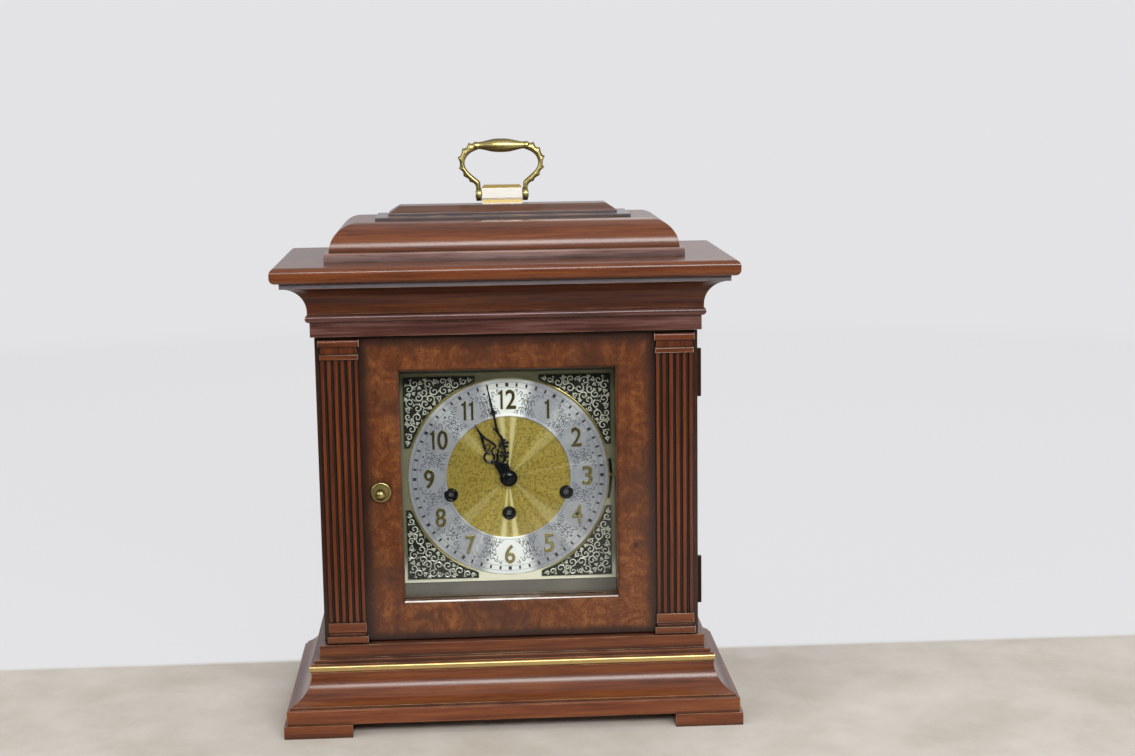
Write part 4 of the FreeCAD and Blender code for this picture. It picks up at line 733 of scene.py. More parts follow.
# the top's boards have the light from above painted in, greyer, with a band of painted sheen
CAP_COLOURS = ("#2c1710", "#51301f", "#6b4534")
CAP = LacqueredWood("lacquered_walnut_cap", Grain.AROUND, *CAP_COLOURS, bloom_band=(346.0, 350.3))
# the pilasters' faces: warm red-brown between flutes darkened with painted shade
PILASTER = FlutedWalnut("lacquered_walnut_fluted", Grain.UP, "#301309", "#53250f", "#713914", rub=0.12)
# the plinth under the dome leans back, and the pale room's reflection in its lacquer is painted into its
# colour: greyed brown
PLINTH_COLOURS = ("#4a3230", "#7c5f5a", "#a08580")
PLINTH = LacqueredWood("lacquered_walnut_plinth", Grain.AROUND, *PLINTH_COLOURS, streak_mm=4.0)
# frieze and bead stand in the cornice's shade, painted in as deep grey-brown, with pale streaks of painted
# sheen
FRIEZE_COLOURS = ("#2a1310", "#4a2822", "#71504a")
FRIEZE = LacqueredWood("lacquered_walnut_frieze", Grain.AROUND, *FRIEZE_COLOURS, streak_mm=4.0)
# the door's burl, sliced, laid and polished: clouded brown, paler than the case
BURL = BurlVeneer("burl_veneer", Grain.UP, "#351909", "#5b2f14", "#87532a", "#9c6840", rub=0.1)
# peeled birch ply, barely sealed: pale, straight and matt
PLY_COLOURS = ("#7a5836", "#a5804f", "#c29e6b", "#c9a878")
PLY = LacqueredWood("birch_plywood", Grain.UP, *PLY_COLOURS, rub=0.3, coat=0.05)
# cast brass, buffed and lacquered: pale gold, with painted shade browning the faces above and below
BRASS = Metal("polished_brass", "#c2b377", "#4a3f18", 0.34, 12.0, hollow_weight=0.0, up_down=0.8)
# the block's colour is nearly white, a painted reflection of the pale wall on its flat front, and its
# bevels get painted shade
BLOCK_LOOKS = {"hollow_weight": 0.0, "up_down": 1.0, "leaning": 0.3, "metallic": 0.4}
BLOCK_BRASS = Metal("block_brass_painted_reflection", "#fdfaf4", "#a08a50", 0.34, 12.0, **BLOCK_LOOKS)
# rolled brass let into the base, dulled by its lacquer
STRIP_BRASS = Metal("strip_brass", "#d9bd80", "#6b4f20", 0.3)
# pressed hinges and strike, bronzed brown and hardly shiny
HINGE_BRASS = Metal("dull_hinge_brass", "#3d2a20", "#1c1210", 0.45)
# battens round the dial, brushed with a flat warm grey
FRAME_PAINT = Enamel("grey_dial_frame", "#756e66", "#7f776e", 0.5, 20.0)
# a painted highlight along the arris below the glass: a broken pale line
SILL_HIGHLIGHT = Enamel("painted_highlight_arris", "#d8d0c8", "#f4f0ec", 0.3, 9.0)
# stamped plates and cut wheels, lacquered: even yellow
MOVEMENT_BRASS = Metal("lacquered_movement_brass", "#c8a65a", "#6a5020", 0.3)
# turned and ground steel: grey, darker in its hollows
STEEL = Metal("ground_steel", "#8d8f92", "#3a3a3c", 0.32)
# the dial's sheet brass, matted at the sides with fine rays, painted shade there and painted highlight
# above and below: yellow, near white in its wedges
DIAL_COLOURS = ("#ad9640", "#d4bb60", "#fff0b0")
DIAL_LOOKS = {"speckle_mm": 2.0, "wedge": 0.85, "wedge_width": 0.085, "corner": 0.25, "speckle": 0.6}
DIAL_BRASS = TurnedPlate("rayed_dial_brass", *DIAL_COLOURS, metallic=0.5, **DIAL_LOOKS)
# brass sheet silvered by rubbing in salts, then brushed: cool grey satin with broad white wedges of painted
# highlight
RING_COLOURS = ("#97979f", "#adadb6", "#ffffff")
RING_LOOKS = {"rays": 60.0, "speckle_mm": 1.6, "wedge": 1.0, "wedge_width": 0.22, "wedge_core": 0.09}
SILVERED = TurnedPlate(
    "silvered_ring", *RING_COLOURS, corner=0.25, roughness=0.36, metallic=0.1, **RING_LOOKS
)
# the castings' ground, blackened so that the scrolls stand out
SPANDREL_GROUND = Enamel("blackened_casting", "#10140f", "#272c22", 0.5, 1.2, 0.4)
# the castings' scrolls, gilt and worn back: pale silver-gold crowns over grey hollows, with a little
# painted shade on faces that look up or down
FILIGREE_LOOKS = {"hollow_mm": 0.6, "hollow_weight": 0.6, "up_down": 0.2, "metallic": 0.38}
FILIGREE = Metal("silver_gilt_casting", "#fffdf0", "#66664e", 0.3, **FILIGREE_LOOKS)
# stoved black on the hands and eyelets: a deep black with a soft shine
BLACK = Enamel("black_lacquer", "#08090c", "#101116", 0.16, shine=0.3)
# wax melted into the engraved track: matt black
INK = Enamel("engraved_black_wax", "#12131a", "#23252e", 0.6, 1.0)
# cast numerals, polished on their faces: pale gold against the silver, with painted shade on the sides that
# look up or down
NUMERAL_BRASS = Metal("numeral_brass", "#b8aa76", "#453c1c", 0.2, hollow_weight=0.0, up_down=0.4)
# thinner wax in the leaf engraving: soft grey
ENGRAVING = Enamel("engraved_grey_wax", "#474a55", "#6a6d79", 0.6, 1.0)
# the door's pane: clear, with only a faint sheen from the front
GLASS = WindowGlass("window_glass")


def show(piece: Piece, finish: Finish) -> None:
    """Gives every material slot of a piece one finish.

    Args:
        piece: The piece.
        finish: Its finish.
    """
    if not piece.material_slots:
        piece.data.materials.append(finish.material())
    for place in piece.material_slots:
        place.material = finish.material()


def make_piece(
    name: str,
    points: list[Place],
    faces: list[tuple[int, ...]],
    body: str,
    finish: Finish,
    smooth: bool = False,
) -> Piece:
    """Makes a mesh piece and lets it ride on a body.

    Args:
        name: The piece's name.
        points: Its vertices in mm.
        faces: Its faces, as vertex numbers.
        body: The body it moves with.
        finish: Its surface finish.
        smooth: True for rounded shading.

    Returns:
        The new object.
    """
    mesh = bpy.data.meshes.new(name)
    mesh.from_pydata([tuple(v / 1000 for v in p) for p in points], [], faces)
    mesh.validate()
    mesh.update()
    for face in mesh.polygons:
        face.use_smooth = smooth
    piece = bpy.data.objects.new(name, mesh)
    bpy.context.scene.collection.objects.link(piece)
    show(piece, finish)
    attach(piece, body)
    log.info("%s: %d faces on %s", name, len(mesh.polygons), body)
    return piece


def around(centre: Point, radius: float, angle: float) -> Point:
    """The place at this radius and angle, in radians, round a centre."""
    return (centre[0] + radius * math.cos(angle), centre[1] + radius * math.sin(angle))


def tube_faces(rows: int, count: int, kept: list[int] | None = None) -> list[tuple[int, ...]]:
    """The faces that join rows of points, where each row is a closed loop.

    Args:
        rows: Number of rows.
        count: Points in a row.
        kept: The steps round the loop that have faces, or None for all of them.

    Returns:
        The faces, as vertex numbers.
    """
    return [
        (k * count + i, k * count + (i + 1) % count, (k + 1) * count + (i + 1) % count, (k + 1) * count + i)
        for k in range(rows - 1)
        for i in (range(count) if kept is None else kept)
    ]


def smooth_path(points: list[Point], steps: int) -> list[Point]:
    """A smooth line through points in the dial's plane.

    Args:
        points: The points to pass through.
        steps: Steps between two points.

    Returns:
        The points of the smooth line.
    """
    whole = [points[0], *points, points[-1]]
    line: list[Point] = []
    for a, b, c, d in zip(whole, whole[1:], whole[2:], whole[3:]):
        for i in range(steps):
            t = i / steps
            line.append(
                tuple(
                    0.5
                    * (
                        2 * b[k]
                        + (c[k] - a[k]) * t
                        + (2 * a[k] - 5 * b[k] + 4 * c[k] - d[k]) * t * t
                        + (3 * b[k] - a[k] - 3 * c[k] + d[k]) * t**3
                    )
                    for k in (0, 1)
                )
            )
    line.append(points[-1])
    return line


def scroll_path(centre: Point, radius: float, start: float, turn: float, steps: int) -> list[Point]:
    """A scroll that winds in towards its eye.

    Args:
        centre: The scroll's eye.
        radius: Its outer radius.
        start: Angle of its outer end in degrees.
        turn: Degrees it winds through; negative winds the other way.
        steps: Number of steps.

    Returns:
        The scroll's points.
    """
    path = []
    for i in range(steps + 1):
        t = i / steps
        angle = math.radians(start + turn * t)
        reach = radius * (1 - 0.82 * t)
        path.append(around(centre, reach, angle))
    return path


@dataclass
class StrokeWork:
    """Thin crowned strokes that lie in the dial's plane, gathered into one mesh."""

    # each point of a stroke's section: share of the width to the side, share of the height
    section: tuple[Point, ...] = ((-0.5, 0.0), (-0.36, 0.7), (0.0, 1.0), (0.36, 0.7), (0.5, 0.0))
    points: list[Place] = field(default_factory=list)
    faces: list[tuple[int, ...]] = field(default_factory=list)

    def stroke(self, path: list[Point], widths: list[float], back: float, height: float) -> None:
        """Adds one stroke.

        Args:
            path: Its middle line, in mm.
            widths: Widths spread evenly along it.
            back: The y of its back.
            height: How far its crown stands in front of the back.
        """
        first = len(self.points)
        last = len(path) - 1
        for i, (x, z) in enumerate(path):
            before, after = path[max(0, i - 1)], path[min(last, i + 1)]
            run = math.hypot(after[0] - before[0], after[1] - before[1]) or 1.0
            across = ((after[1] - before[1]) / run, -(after[0] - before[0]) / run)
            at = i / last * (len(widths) - 1)
            low = min(int(at), len(widths) - 2) if len(widths) > 1 else 0
            share = at - low
            wide = widths[low]
            if len(widths) > 1:
                wide = widths[low] * (1 - share) + widths[low + 1] * share
            for side, lift in self.section:
                self.points.append(
                    (x + across[0] * wide * side, back - height * lift, z + across[1] * wide * side)
                )
        count = len(self.section)
        self.faces += [tuple(first + v for v in face) for face in tube_faces(last + 1, count)]
        self.faces.append(tuple(first + k for k in reversed(range(count))))
        self.faces.append(tuple(first + count * last + k for k in range(count)))

    def circle(
        self, centre: Point, radius: float, wide: float, back: float, height: float, steps: int
    ) -> None:
        """Adds a closed circle as one stroke.

        Args:
            centre: Its centre, as x and z.
            radius: Its radius.
            wide: Width of the stroke.
            back: The y of its back.
            height: How far its crown stands in front of the back.
            steps: Steps round it.
        """
        path = [around(centre, radius, math.tau * i / steps) for i in range(steps + 1)]
        self.stroke(path, [wide], back, height)

    def piece(self, name: str, body: str, slot: str, finish: Finish) -> Piece:
        """Turns the gathered strokes into a piece."""
        return make_piece(name, self.points, self.faces, body, finish)


def turned_piece(
    name: str,
    profile: list[Point],
    centre: Point,
    body: str,
    finish: Finish,
    segments: int,
    gaps: tuple[Point, ...] = (),
) -> Piece:
    """A piece turned round an axis that runs front to back.

    Args:
        name: The piece's name.
        profile: Radius and y of each point, from front to back.
        centre: The axis, as x and z.
        body: The body it moves with.
        finish: Its surface finish.
        segments: Steps round the axis.
        gaps: Stretches left out, each as its middle angle and half its width in degrees.

    Returns:
        The new object.
    """
    kept = []
    for i in range(segments):
        angle = 360 * (i + 0.5) / segments
        if all(abs((angle - middle + 180) % 360 - 180) > half for middle, half in gaps):
            kept.append(i)
    points: list[Place] = []
    for radius, y in profile:
        for i in range(segments):
            x, z = around(centre, radius, math.tau * i / segments)
            points.append((x, y, z))
    faces = tube_faces(len(profile), segments, kept)
    return make_piece(name, points, faces, body, finish, True)


@dataclass
class Assembly:
    """A sub-assembly, whose solids each take one finish."""

    members: dict[str, Finish] = field(default_factory=dict)

    def dress(self) -> None:
        """Gives each member its finish."""
        for node, finish in self.members.items():
            show(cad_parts[node], finish)
            log.info("%s: %s", node, finish.name)


@dataclass
class CaseWoodwork(Assembly):
    """The walnut case: base, carcass, frieze, cornice and domed top."""

    members: dict[str, Finish] = field(
        default_factory=lambda: {
            "feet": BASE, "base_fascia": BASE, "base_cove": WALNUT_AROUND, "floor_board": WALNUT_AROUND,
            "side_panels": WALNUT_UP, "back_frame": WALNUT_UP, "frieze_board": FRIEZE,
            "cornice_bead": FRIEZE, "cornice_cove": COVE, "cornice_board": WALNUT_AROUND,
            "caddy_plinth": PLINTH, "dome_mouldings": WALNUT_AROUND, "cap_boards": CAP, "seat_board": PLY,
            "back_door": PLY, "dial_frame": FRAME_PAINT, "brass_strip": STRIP_BRASS,
            "case_metalwork": HINGE_BRASS,
        }
    )


@dataclass
class FrontDoor(Assembly):
    """The glazed door with its fluted pilasters and knob."""

    members: dict[str, Finish] = field(
        default_factory=lambda: {
            "door_stiles": BURL, "door_rails": BURL, "pilasters": PILASTER, "pilaster_bands": BANDS,
            "glass_beads": WALNUT_AROUND, "door_glass": GLASS, "door_knob": BRASS,
            "door_metalwork": HINGE_BRASS,
        }
    )
    sight_half: float = 73.9
    sight_foot: float = 85.5
    face_y: float = -46.6

    def dress(self) -> None:
        """Gives each member its finish, and paints a highlight along the arris below the glass."""
        super().dress()
        # a pale stroke along the arris below the glass: painted highlight
        arris = StrokeWork()
        line = [(x, self.sight_foot - 0.1) for x in (-self.sight_half, -20.0, 20.0, self.sight_half)]
        arris.stroke(line, [1.1, 1.3, 1.0, 0.6], self.face_y + 0.05, 0.2)
        arris.piece("sight_edge_highlight", "front_door", "burl_veneer", SILL_HIGHLIGHT)


@dataclass
class Dial(Assembly):
    """The brass dial plate with its silvered ring, numerals, tracks and spandrels."""

    members: dict[str, Finish] = field(
        default_factory=lambda: {
            "dial_plate": DIAL_BRASS, "chapter_ring": SILVERED, "spandrels": SPANDREL_GROUND,
            "chime_selector": BRASS,
        }
    )
    numeral_radius: float = 55.6
    numeral_height: float = 13.7
    digit_width: float = 7.3
    one_width: float = 3.2
    digit_gap: float = 1.9
    one_outline: tuple[Point, ...] = (
        (0.085, 0.0), (0.150, 0.0), (0.150, 0.73), (0.110, 0.73), (0.070, 0.665), (0.0, 0.625), (0.0, 0.57),
        (0.085, 0.60),
    )
    track_inner: float = 64.1
    track_outer: float = 67.7
    bar_half: Point = (1.25, 1.3)  # half the length of a plain minute's bar, and of a fifth's
    bar_width: Point = (1.5, 2.5)
    rim_inner: float = 43.5
    rim_outer: float = 45.4
    rim_gap: float = 5.2  # half the angle that an eyelet takes out of the rim
    grommet_radius: float = 4.9
    grommet_lip: tuple[Point, ...] = (
        (3.0, -12.7), (3.0, -13.8), (2.7, -14.6), (2.6, -15.3), (2.75, -15.9), (3.2, -16.3), (3.75, -16.35),
        (4.3, -16.05), (4.7, -15.4), (4.85, -14.7), (4.9, -14.2),
    )
    dot_radius: float = 61.6
    stem_radii: tuple[float, ...] = (46.8, 50.0, 53.0, 56.0, 59.4)
    spandrel_reach: float = 72.3  # the corner's outer edges, from the dial's centre
    spandrel_arc: float = 71.9  # the corner's inner curve
    edge_radius: float = 71.6  # the brass line along that curve
    reach_margin: float = 0.35  # how far the scrolls stay inside the outer edges
    arc_margin: float = 0.6
    scroll_sizes: tuple[float, ...] = (3.4, 2.6, 2.0, 1.5, 1.1)
    scroll_tries: int = 900  # places tried for each size
    ring_leaves: tuple[Place, ...] = (
        (59.0, 2.6, 1.7), (60.6, 6.0, 1.5), (56.2, 4.2, 1.4), (55.4, 1.7, 1.2), (52.8, 3.0, 1.5),
        (49.8, 1.6, 1.1), (49.6, 4.8, 1.3), (47.3, 3.0, 1.0), (47.2, 7.2, 1.2), (62.2, 9.0, 1.0),
    )  # radius, degrees off the middle and size of each engraved scroll

    def dress(self) -> None:
        """Builds and finishes the whole dial."""
        super().dress()
        self.numerals()
        self.minute_track()
        self.engraving()
        self.rim()
        self.grommets()
        self.filigree()

    def eyelets(self) -> dict[str, Point]:
        """The centres of the three winding holes.

        Returns:
            The x and z of each, by its name.
        """
        low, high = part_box("winding_grommets")
        side = high[0] * 1000 - self.grommet_radius
        upper = high[2] * 1000 - self.grommet_radius
        lower = low[2] * 1000 + self.grommet_radius
        return {"left": (-side, upper), "right": (side, upper), "middle": (0.0, lower)}

    def grommets(self) -> None:
        """Three black eyelets with rolled lips, in the winding holes."""
        lip = list(self.grommet_lip)
        for name, centre in self.eyelets().items():
            eyelet = turned_piece(f"winding_eyelet_{name}", lip, centre, "case", BLACK, 48)
            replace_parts(eyelet, "winding_grommets")

    def on_dial(self, radius: float, clock_degrees: float) -> Point:
        """The x and z of a place at this radius and clockwise angle from 12."""
        return around((0.0, DIAL_Z), radius, math.radians(90 - clock_degrees))

    def digit(self, mark: str) -> bpy.types.Mesh:
        """The raised shape of one digit before it is sized: drawn for 1, and set in plain type else.

        Args:
            mark: The digit.

        Returns:
            Its mesh, with softened edges.
        """
        if mark == "1":
            outline = bpy.data.curves.new("digit_outline", "CURVE")
            outline.dimensions = "2D"
            line = outline.splines.new("POLY")
            line.points.add(len(self.one_outline) - 1)
            for spot, (x, z) in zip(line.points, self.one_outline):
                spot.co = (x, z, 0.0, 1.0)
            line.use_cyclic_u = True
        else:
            outline = bpy.data.curves.new("digit_outline", "FONT")
            outline.body = mark
            outline.offset = 0.004
            outline.resolution_u = 6
        outline.fill_mode = "BOTH"
        outline.extrude = 0.02
        outline.bevel_depth = 0.014
        shape = bpy.data.objects.new("digit_shape", outline)
        bpy.context.scene.collection.objects.link(shape)
        bpy.context.view_layer.update()
        mesh = bpy.data.meshes.new_from_object(shape.evaluated_get(bpy.context.evaluated_depsgraph_get()))
        bpy.data.objects.remove(shape)
        return mesh

    def numerals(self) -> None:
        """Twelve upright raised numerals."""
        for hour in range(1, 13):
            marks = str(hour)
            widths = [self.one_width if mark == "1" else self.digit_width for mark in marks]
            x, z = self.on_dial(self.numeral_radius, hour * 30)
            left = x - (sum(widths) + self.digit_gap * (len(marks) - 1)) / 2
            points: list[Place] = []
            faces: list[tuple[int, ...]] = []
            for mark, wide in zip(marks, widths):
                mesh = self.digit(mark)
                low = [min(v.co[k] for v in mesh.vertices) for k in range(3)]
                high = [max(v.co[k] for v in mesh.vertices) for k in range(3)]
                tall = self.numeral_height / (high[1] - low[1])
                broad = wide / (high[0] - low[0])
                first = len(points)
                points += [
                    (
                        left + (v.co[0] - low[0]) * broad,
                        RING_FACE + 0.1 - (v.co[2] - low[2]) * tall * 0.9,
                        z + (v.co[1] - (low[1] + high[1]) / 2) * tall,
                    )
                    for v in mesh.vertices
                ]
                faces += [tuple(first + v for v in p.vertices) for p in mesh.polygons]
                bpy.data.meshes.remove(mesh)
                left += wide + self.digit_gap
            make_piece(f"numeral_{hour}", points, faces, "case", NUMERAL_BRASS)

    def minute_track(self) -> None:
        """Two fine circles with a bar at each minute and a block at each fifth."""
        work = StrokeWork()
        for radius in (self.track_inner, self.track_outer):
            work.circle((0.0, DIAL_Z), radius, 0.22, RING_FACE + 0.02, 0.05, 180)
        middle = (self.track_inner + self.track_outer) / 2
        for minute in range(60):
            fifth = minute % 5 == 0
            half = self.bar_half[fifth]
            bar = [self.on_dial(radius, minute * 6) for radius in (middle - half, middle + half)]
            work.stroke(bar, [self.bar_width[fifth]], RING_FACE + 0.02, 0.08)
        work.piece("minute_track", "case", "silvered_ring", INK)

    def engraving(self) -> None:
        """Fine leaf scrolls and a dot in each space between the numerals."""
        work = StrokeWork()
        chance = random.Random(7)
        back = RING_FACE + 0.02
        for hour in range(12):
            middle = hour * 30 + 15
            work.circle(self.on_dial(self.dot_radius, middle), 0.5, 1.0, back, 0.08, 12)
            stem = [self.on_dial(radius, middle) for radius in self.stem_radii]
            work.stroke(stem, [0.3, 0.7, 0.5, 0.8, 0.3], back, 0.05)
            for radius, spread, size in self.ring_leaves:
                for side in (-1, 1):
                    centre = self.on_dial(radius, middle + side * spread)
                    start = 90 - middle + side * chance.uniform(100, 190)
                    curl = scroll_path(centre, size, start, -side * 380, 14)
                    work.stroke(curl, [0.6, 0.75, 0.5, 0.35], back, 0.05)
                    for turn in (0, 75):
                        angle = math.radians(start + side * turn)
                        near, far = size * 0.9, size * 1.9
                        leaf = [around(centre, reach, angle) for reach in (near, (near + far) / 2, far)]
                        work.stroke(leaf, [0.25, 0.95, 0.2], back, 0.05)
        work.piece("ring_engraving", "case", "silvered_ring", ENGRAVING)

    def rim(self) -> None:
        """The raised silver rim inside the ring, which stops at the two outer winding holes."""
        side, upper = self.eyelets()["right"]
        slope = math.degrees(math.atan2(DIAL_Z - upper, side))
        turned_piece(
            "ring_inner_rim",
            [
                (self.rim_inner, DIAL_FACE + 0.05), (self.rim_inner, RING_FACE - 0.25),
                (self.rim_inner + 0.5, RING_FACE - 0.5), (self.rim_outer - 0.5, RING_FACE - 0.45),
                (self.rim_outer, RING_FACE - 0.05), (self.rim_outer + 0.1, RING_FACE + 0.3),
            ],
            (0.0, DIAL_Z),
            "case",
            SILVERED,
            240,
            ((-slope, self.rim_gap), (180 + slope, self.rim_gap)),
        )

    def filigree(self) -> None:
        """Cast scrollwork that fills each corner between the frame and the ring."""
        chance = random.Random(19)
        work = StrokeWork()
        reach, arc = self.spandrel_reach, self.spandrel_arc
        back = RING_FACE - 0.1
        eyes: list[Place] = []  # x, z and radius of each scroll in one half of a corner
        for size in self.scroll_sizes:
            for _ in range(self.scroll_tries):
                x, z = chance.uniform(24, reach), chance.uniform(24, reach)
                if z > x:
                    continue
                inside = min(reach - self.reach_margin - x, math.hypot(x, z) - arc - self.arc_margin)
                if inside < size or (x - z) / math.sqrt(2) < size * 0.6:
                    continue
                if all(math.hypot(x - a, z - b) > (size + c) * 0.9 for a, b, c in eyes):
                    eyes.append((x, z, size))
        for sx in (-1, 1):
            for sz in (-1, 1):
                for x, z, size in eyes:
                    start = math.degrees(math.atan2(z, x)) + (x * 37 + z * 11) % 360
                    for px, pz, way in ((x, z, 1), (z, x, -1)):
                        begin = start if way > 0 else 90 - start
                        path = scroll_path((px, pz), size * 0.98, begin, way * 430, 18)
                        path = [(sx * a, DIAL_Z + sz * b) for a, b in path]
                        work.stroke(path, [0.55, 1.0, 0.7, 0.9], back, 0.6)
                        for leaf in (0, 120, 240):
                            angle = math.radians(begin + leaf)
                            a = around((px, pz), size, angle)
                            b = around((px, pz), size * 1.35, angle + 0.5 * way)
                            if max(b) > reach or math.hypot(*b) < arc + 0.3:
                                continue
                            tip = [(sx * p, DIAL_Z + sz * q) for p, q in (a, b)]
                            work.stroke(tip, [0.6, 1.5, 0.4], back, 0.5)
        work.piece("spandrel_filigree", "case", "spandrel_metal", FILIGREE)
        edge = StrokeWork()
        for quarter in range(4):
            middle = 45 + quarter * 90
            line = [self.on_dial(self.edge_radius, middle + step) for step in range(-26, 27, 2)]
            edge.stroke(line, [0.3, 1.2, 1.2, 1.2, 0.3], RING_FACE + 0.1, 0.5)
        edge.piece("spandrel_inner_edge", "case", "spandrel_metal", BRASS)


@dataclass
class Hands(Assembly):
    """The pierced black hour and minute hands."""

    members: dict[str, Finish] = field(default_factory=lambda: {"hand_nut": BLACK})
    hour_angle: float = -31.0
    minute_angle: float = -12.0
    hour_back: float = -16.8
    minute_back: float = -19.0
    thickness: float = 0.6
    boldness: float = 1.3  # the strokes are drawn thin, and widened by this
    boss: tuple[Point, ...] = (
        (0.01, -22.5), (1.9, -22.35), (3.7, -21.8), (5.1, -20.9), (6.0, -19.9), (6.2, -19.2), (6.1, -18.9),
        (2.2, -18.9),
    )

    def placed(self, path: list[Point], angle: float) -> list[Point]:
        """Turns places along and right of a hand to x and z on the dial.

        Args:
            path: The places.
            angle: The hand's clockwise angle from 12.

        Returns:
            The places as x and z.
        """
        a = math.radians(angle)
        return [
            (s * math.sin(a) + t * math.cos(a), DIAL_Z + s * math.cos(a) - t * math.sin(a))
            for s, t in path
        ]

    def blade(
        self, strokes: list[tuple[list[Point], list[float]]], angle: float, back: float
    ) -> StrokeWork:
        """Strokes that make one openwork blade.

        Args:
            strokes: Each stroke's path and widths.
            angle: The hand's clockwise angle from 12.
            back: The y of its back.

        Returns:
            The gathered strokes.
        """
        work = StrokeWork()
        for path, widths in strokes:
            wide = [w * self.boldness for w in widths]
            work.stroke(smooth_path(self.placed(path, angle), 6), wide, back, self.thickness)
        return work

    def hour_hand(self) -> None:
        """The hour hand: a solid root, a scrolled loop and a long point."""
        left_edge = [(24.2, -3.9), (27.5, -2.9), (32.3, -1.2), (36.2, -0.1), (44.9, 0)]
        right_edge = [(23.2, 3.6), (25.5, 4.2), (29.3, 2.5), (33, 0.9), (36.6, 0)]
        hand = self.blade(
            [
                ([(0, 0), (6, -0.2), (11, -0.9), (14.6, -2.4)], [7.4, 6.2, 4.8, 2.2]),
                ([(13, -1.0), (16, 1.2), (18.8, 2.4)], [2.0, 1.6, 1.0]),
                (left_edge, [0.8, 1.1, 1.4, 1.7, 1.3, 0.35]),
                (right_edge, [0.8, 1.2, 1.2, 1.2, 1.4]),
            ],
            self.hour_angle,
            self.hour_back,
        )
        for s, t, radius, wide in (
            (19.6, -3.7, 3.5, 1.3), (21.2, 2.2, 2.3, 1.1), (26.4, -0.7, 1.7, 0.9), (15.0, -3.0, 0.9, 1.3)
        ):
            (place,) = self.placed([(s, t)], self.hour_angle)
            hand.circle(place, radius, wide * 1.15, self.hour_back, self.thickness, 28)
        piece = hand.piece("hour_hand_openwork", "hour_work", "black_hands", BLACK)
        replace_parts(piece, "hour_hand")

    def minute_hand(self) -> None:
        """The minute hand: a slim root, two rosettes on a curved stem and a crossed point."""
        stem = [(12.6, 0.6), (16.5, 1.2), (20.5, 2.0), (24.8, 2.3), (29.3, 1.7), (33.5, -0.2), (36.4, -1.0)]
        point = [(33.0, 0.1), (38.0, -0.1), (44.0, 0.0), (53.0, 0), (68.4, 0)]
        hand = self.blade(
            [
                ([(0, 0), (7, 0.1), (10.4, 0.4)], [5.4, 3.6, 2.4]),
                (stem, [1.6, 1.6, 1.2, 1.3, 1.5, 1.1, 1.3]), (point, [1.5, 1.4, 1.3, 1.3, 1.1, 0.45]),
                ([(47.9, -2.6), (47.6, 0), (47.9, 2.6)], [0.6, 2.2, 0.6]),
                ([(45.4, 0), (48.0, 0), (50.8, 0)], [1.0, 2.8, 0.8]),
            ],
            self.minute_angle,
            self.minute_back,
        )
        for s, t, radius, wide in ((11.9, 0.5, 1.5, 1.1), (36.4, -1.4, 0.7, 1.4)):
            (place,) = self.placed([(s, t)], self.minute_angle)
            hand.circle(place, radius, wide, self.minute_back, self.thickness, 20)
        for s, t, petal in ((17.4, 1.0, 2.9), (24.6, 2.2, 3.1)):
            (place,) = self.placed([(s, t)], self.minute_angle)
            hand.circle(place, 0.7, 1.4, self.minute_back, self.thickness, 14)
            for i in range(6):
                turn = math.radians(60 * i + 15)
                tip = around((s, t), petal, turn)
                hook = around((s, t), petal * 0.9, turn + 0.45)
                line = smooth_path(self.placed([(s, t), tip, hook], self.minute_angle), 3)
                hand.stroke(line, [1.3, 1.7, 1.1], self.minute_back, self.thickness)
        piece = hand.piece("minute_hand_openwork", "minute_work", "black_hands", BLACK)
        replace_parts(piece, "minute_hand")

    def dress(self) -> None:
        """Finishes the nut, and builds both hands and their boss."""
        super().dress()
        self.hour_hand()
        self.minute_hand()
        boss = list(self.boss)
        turned_piece("hand_boss", boss, (0.0, DIAL_Z), "minute_work", BLACK, 48)


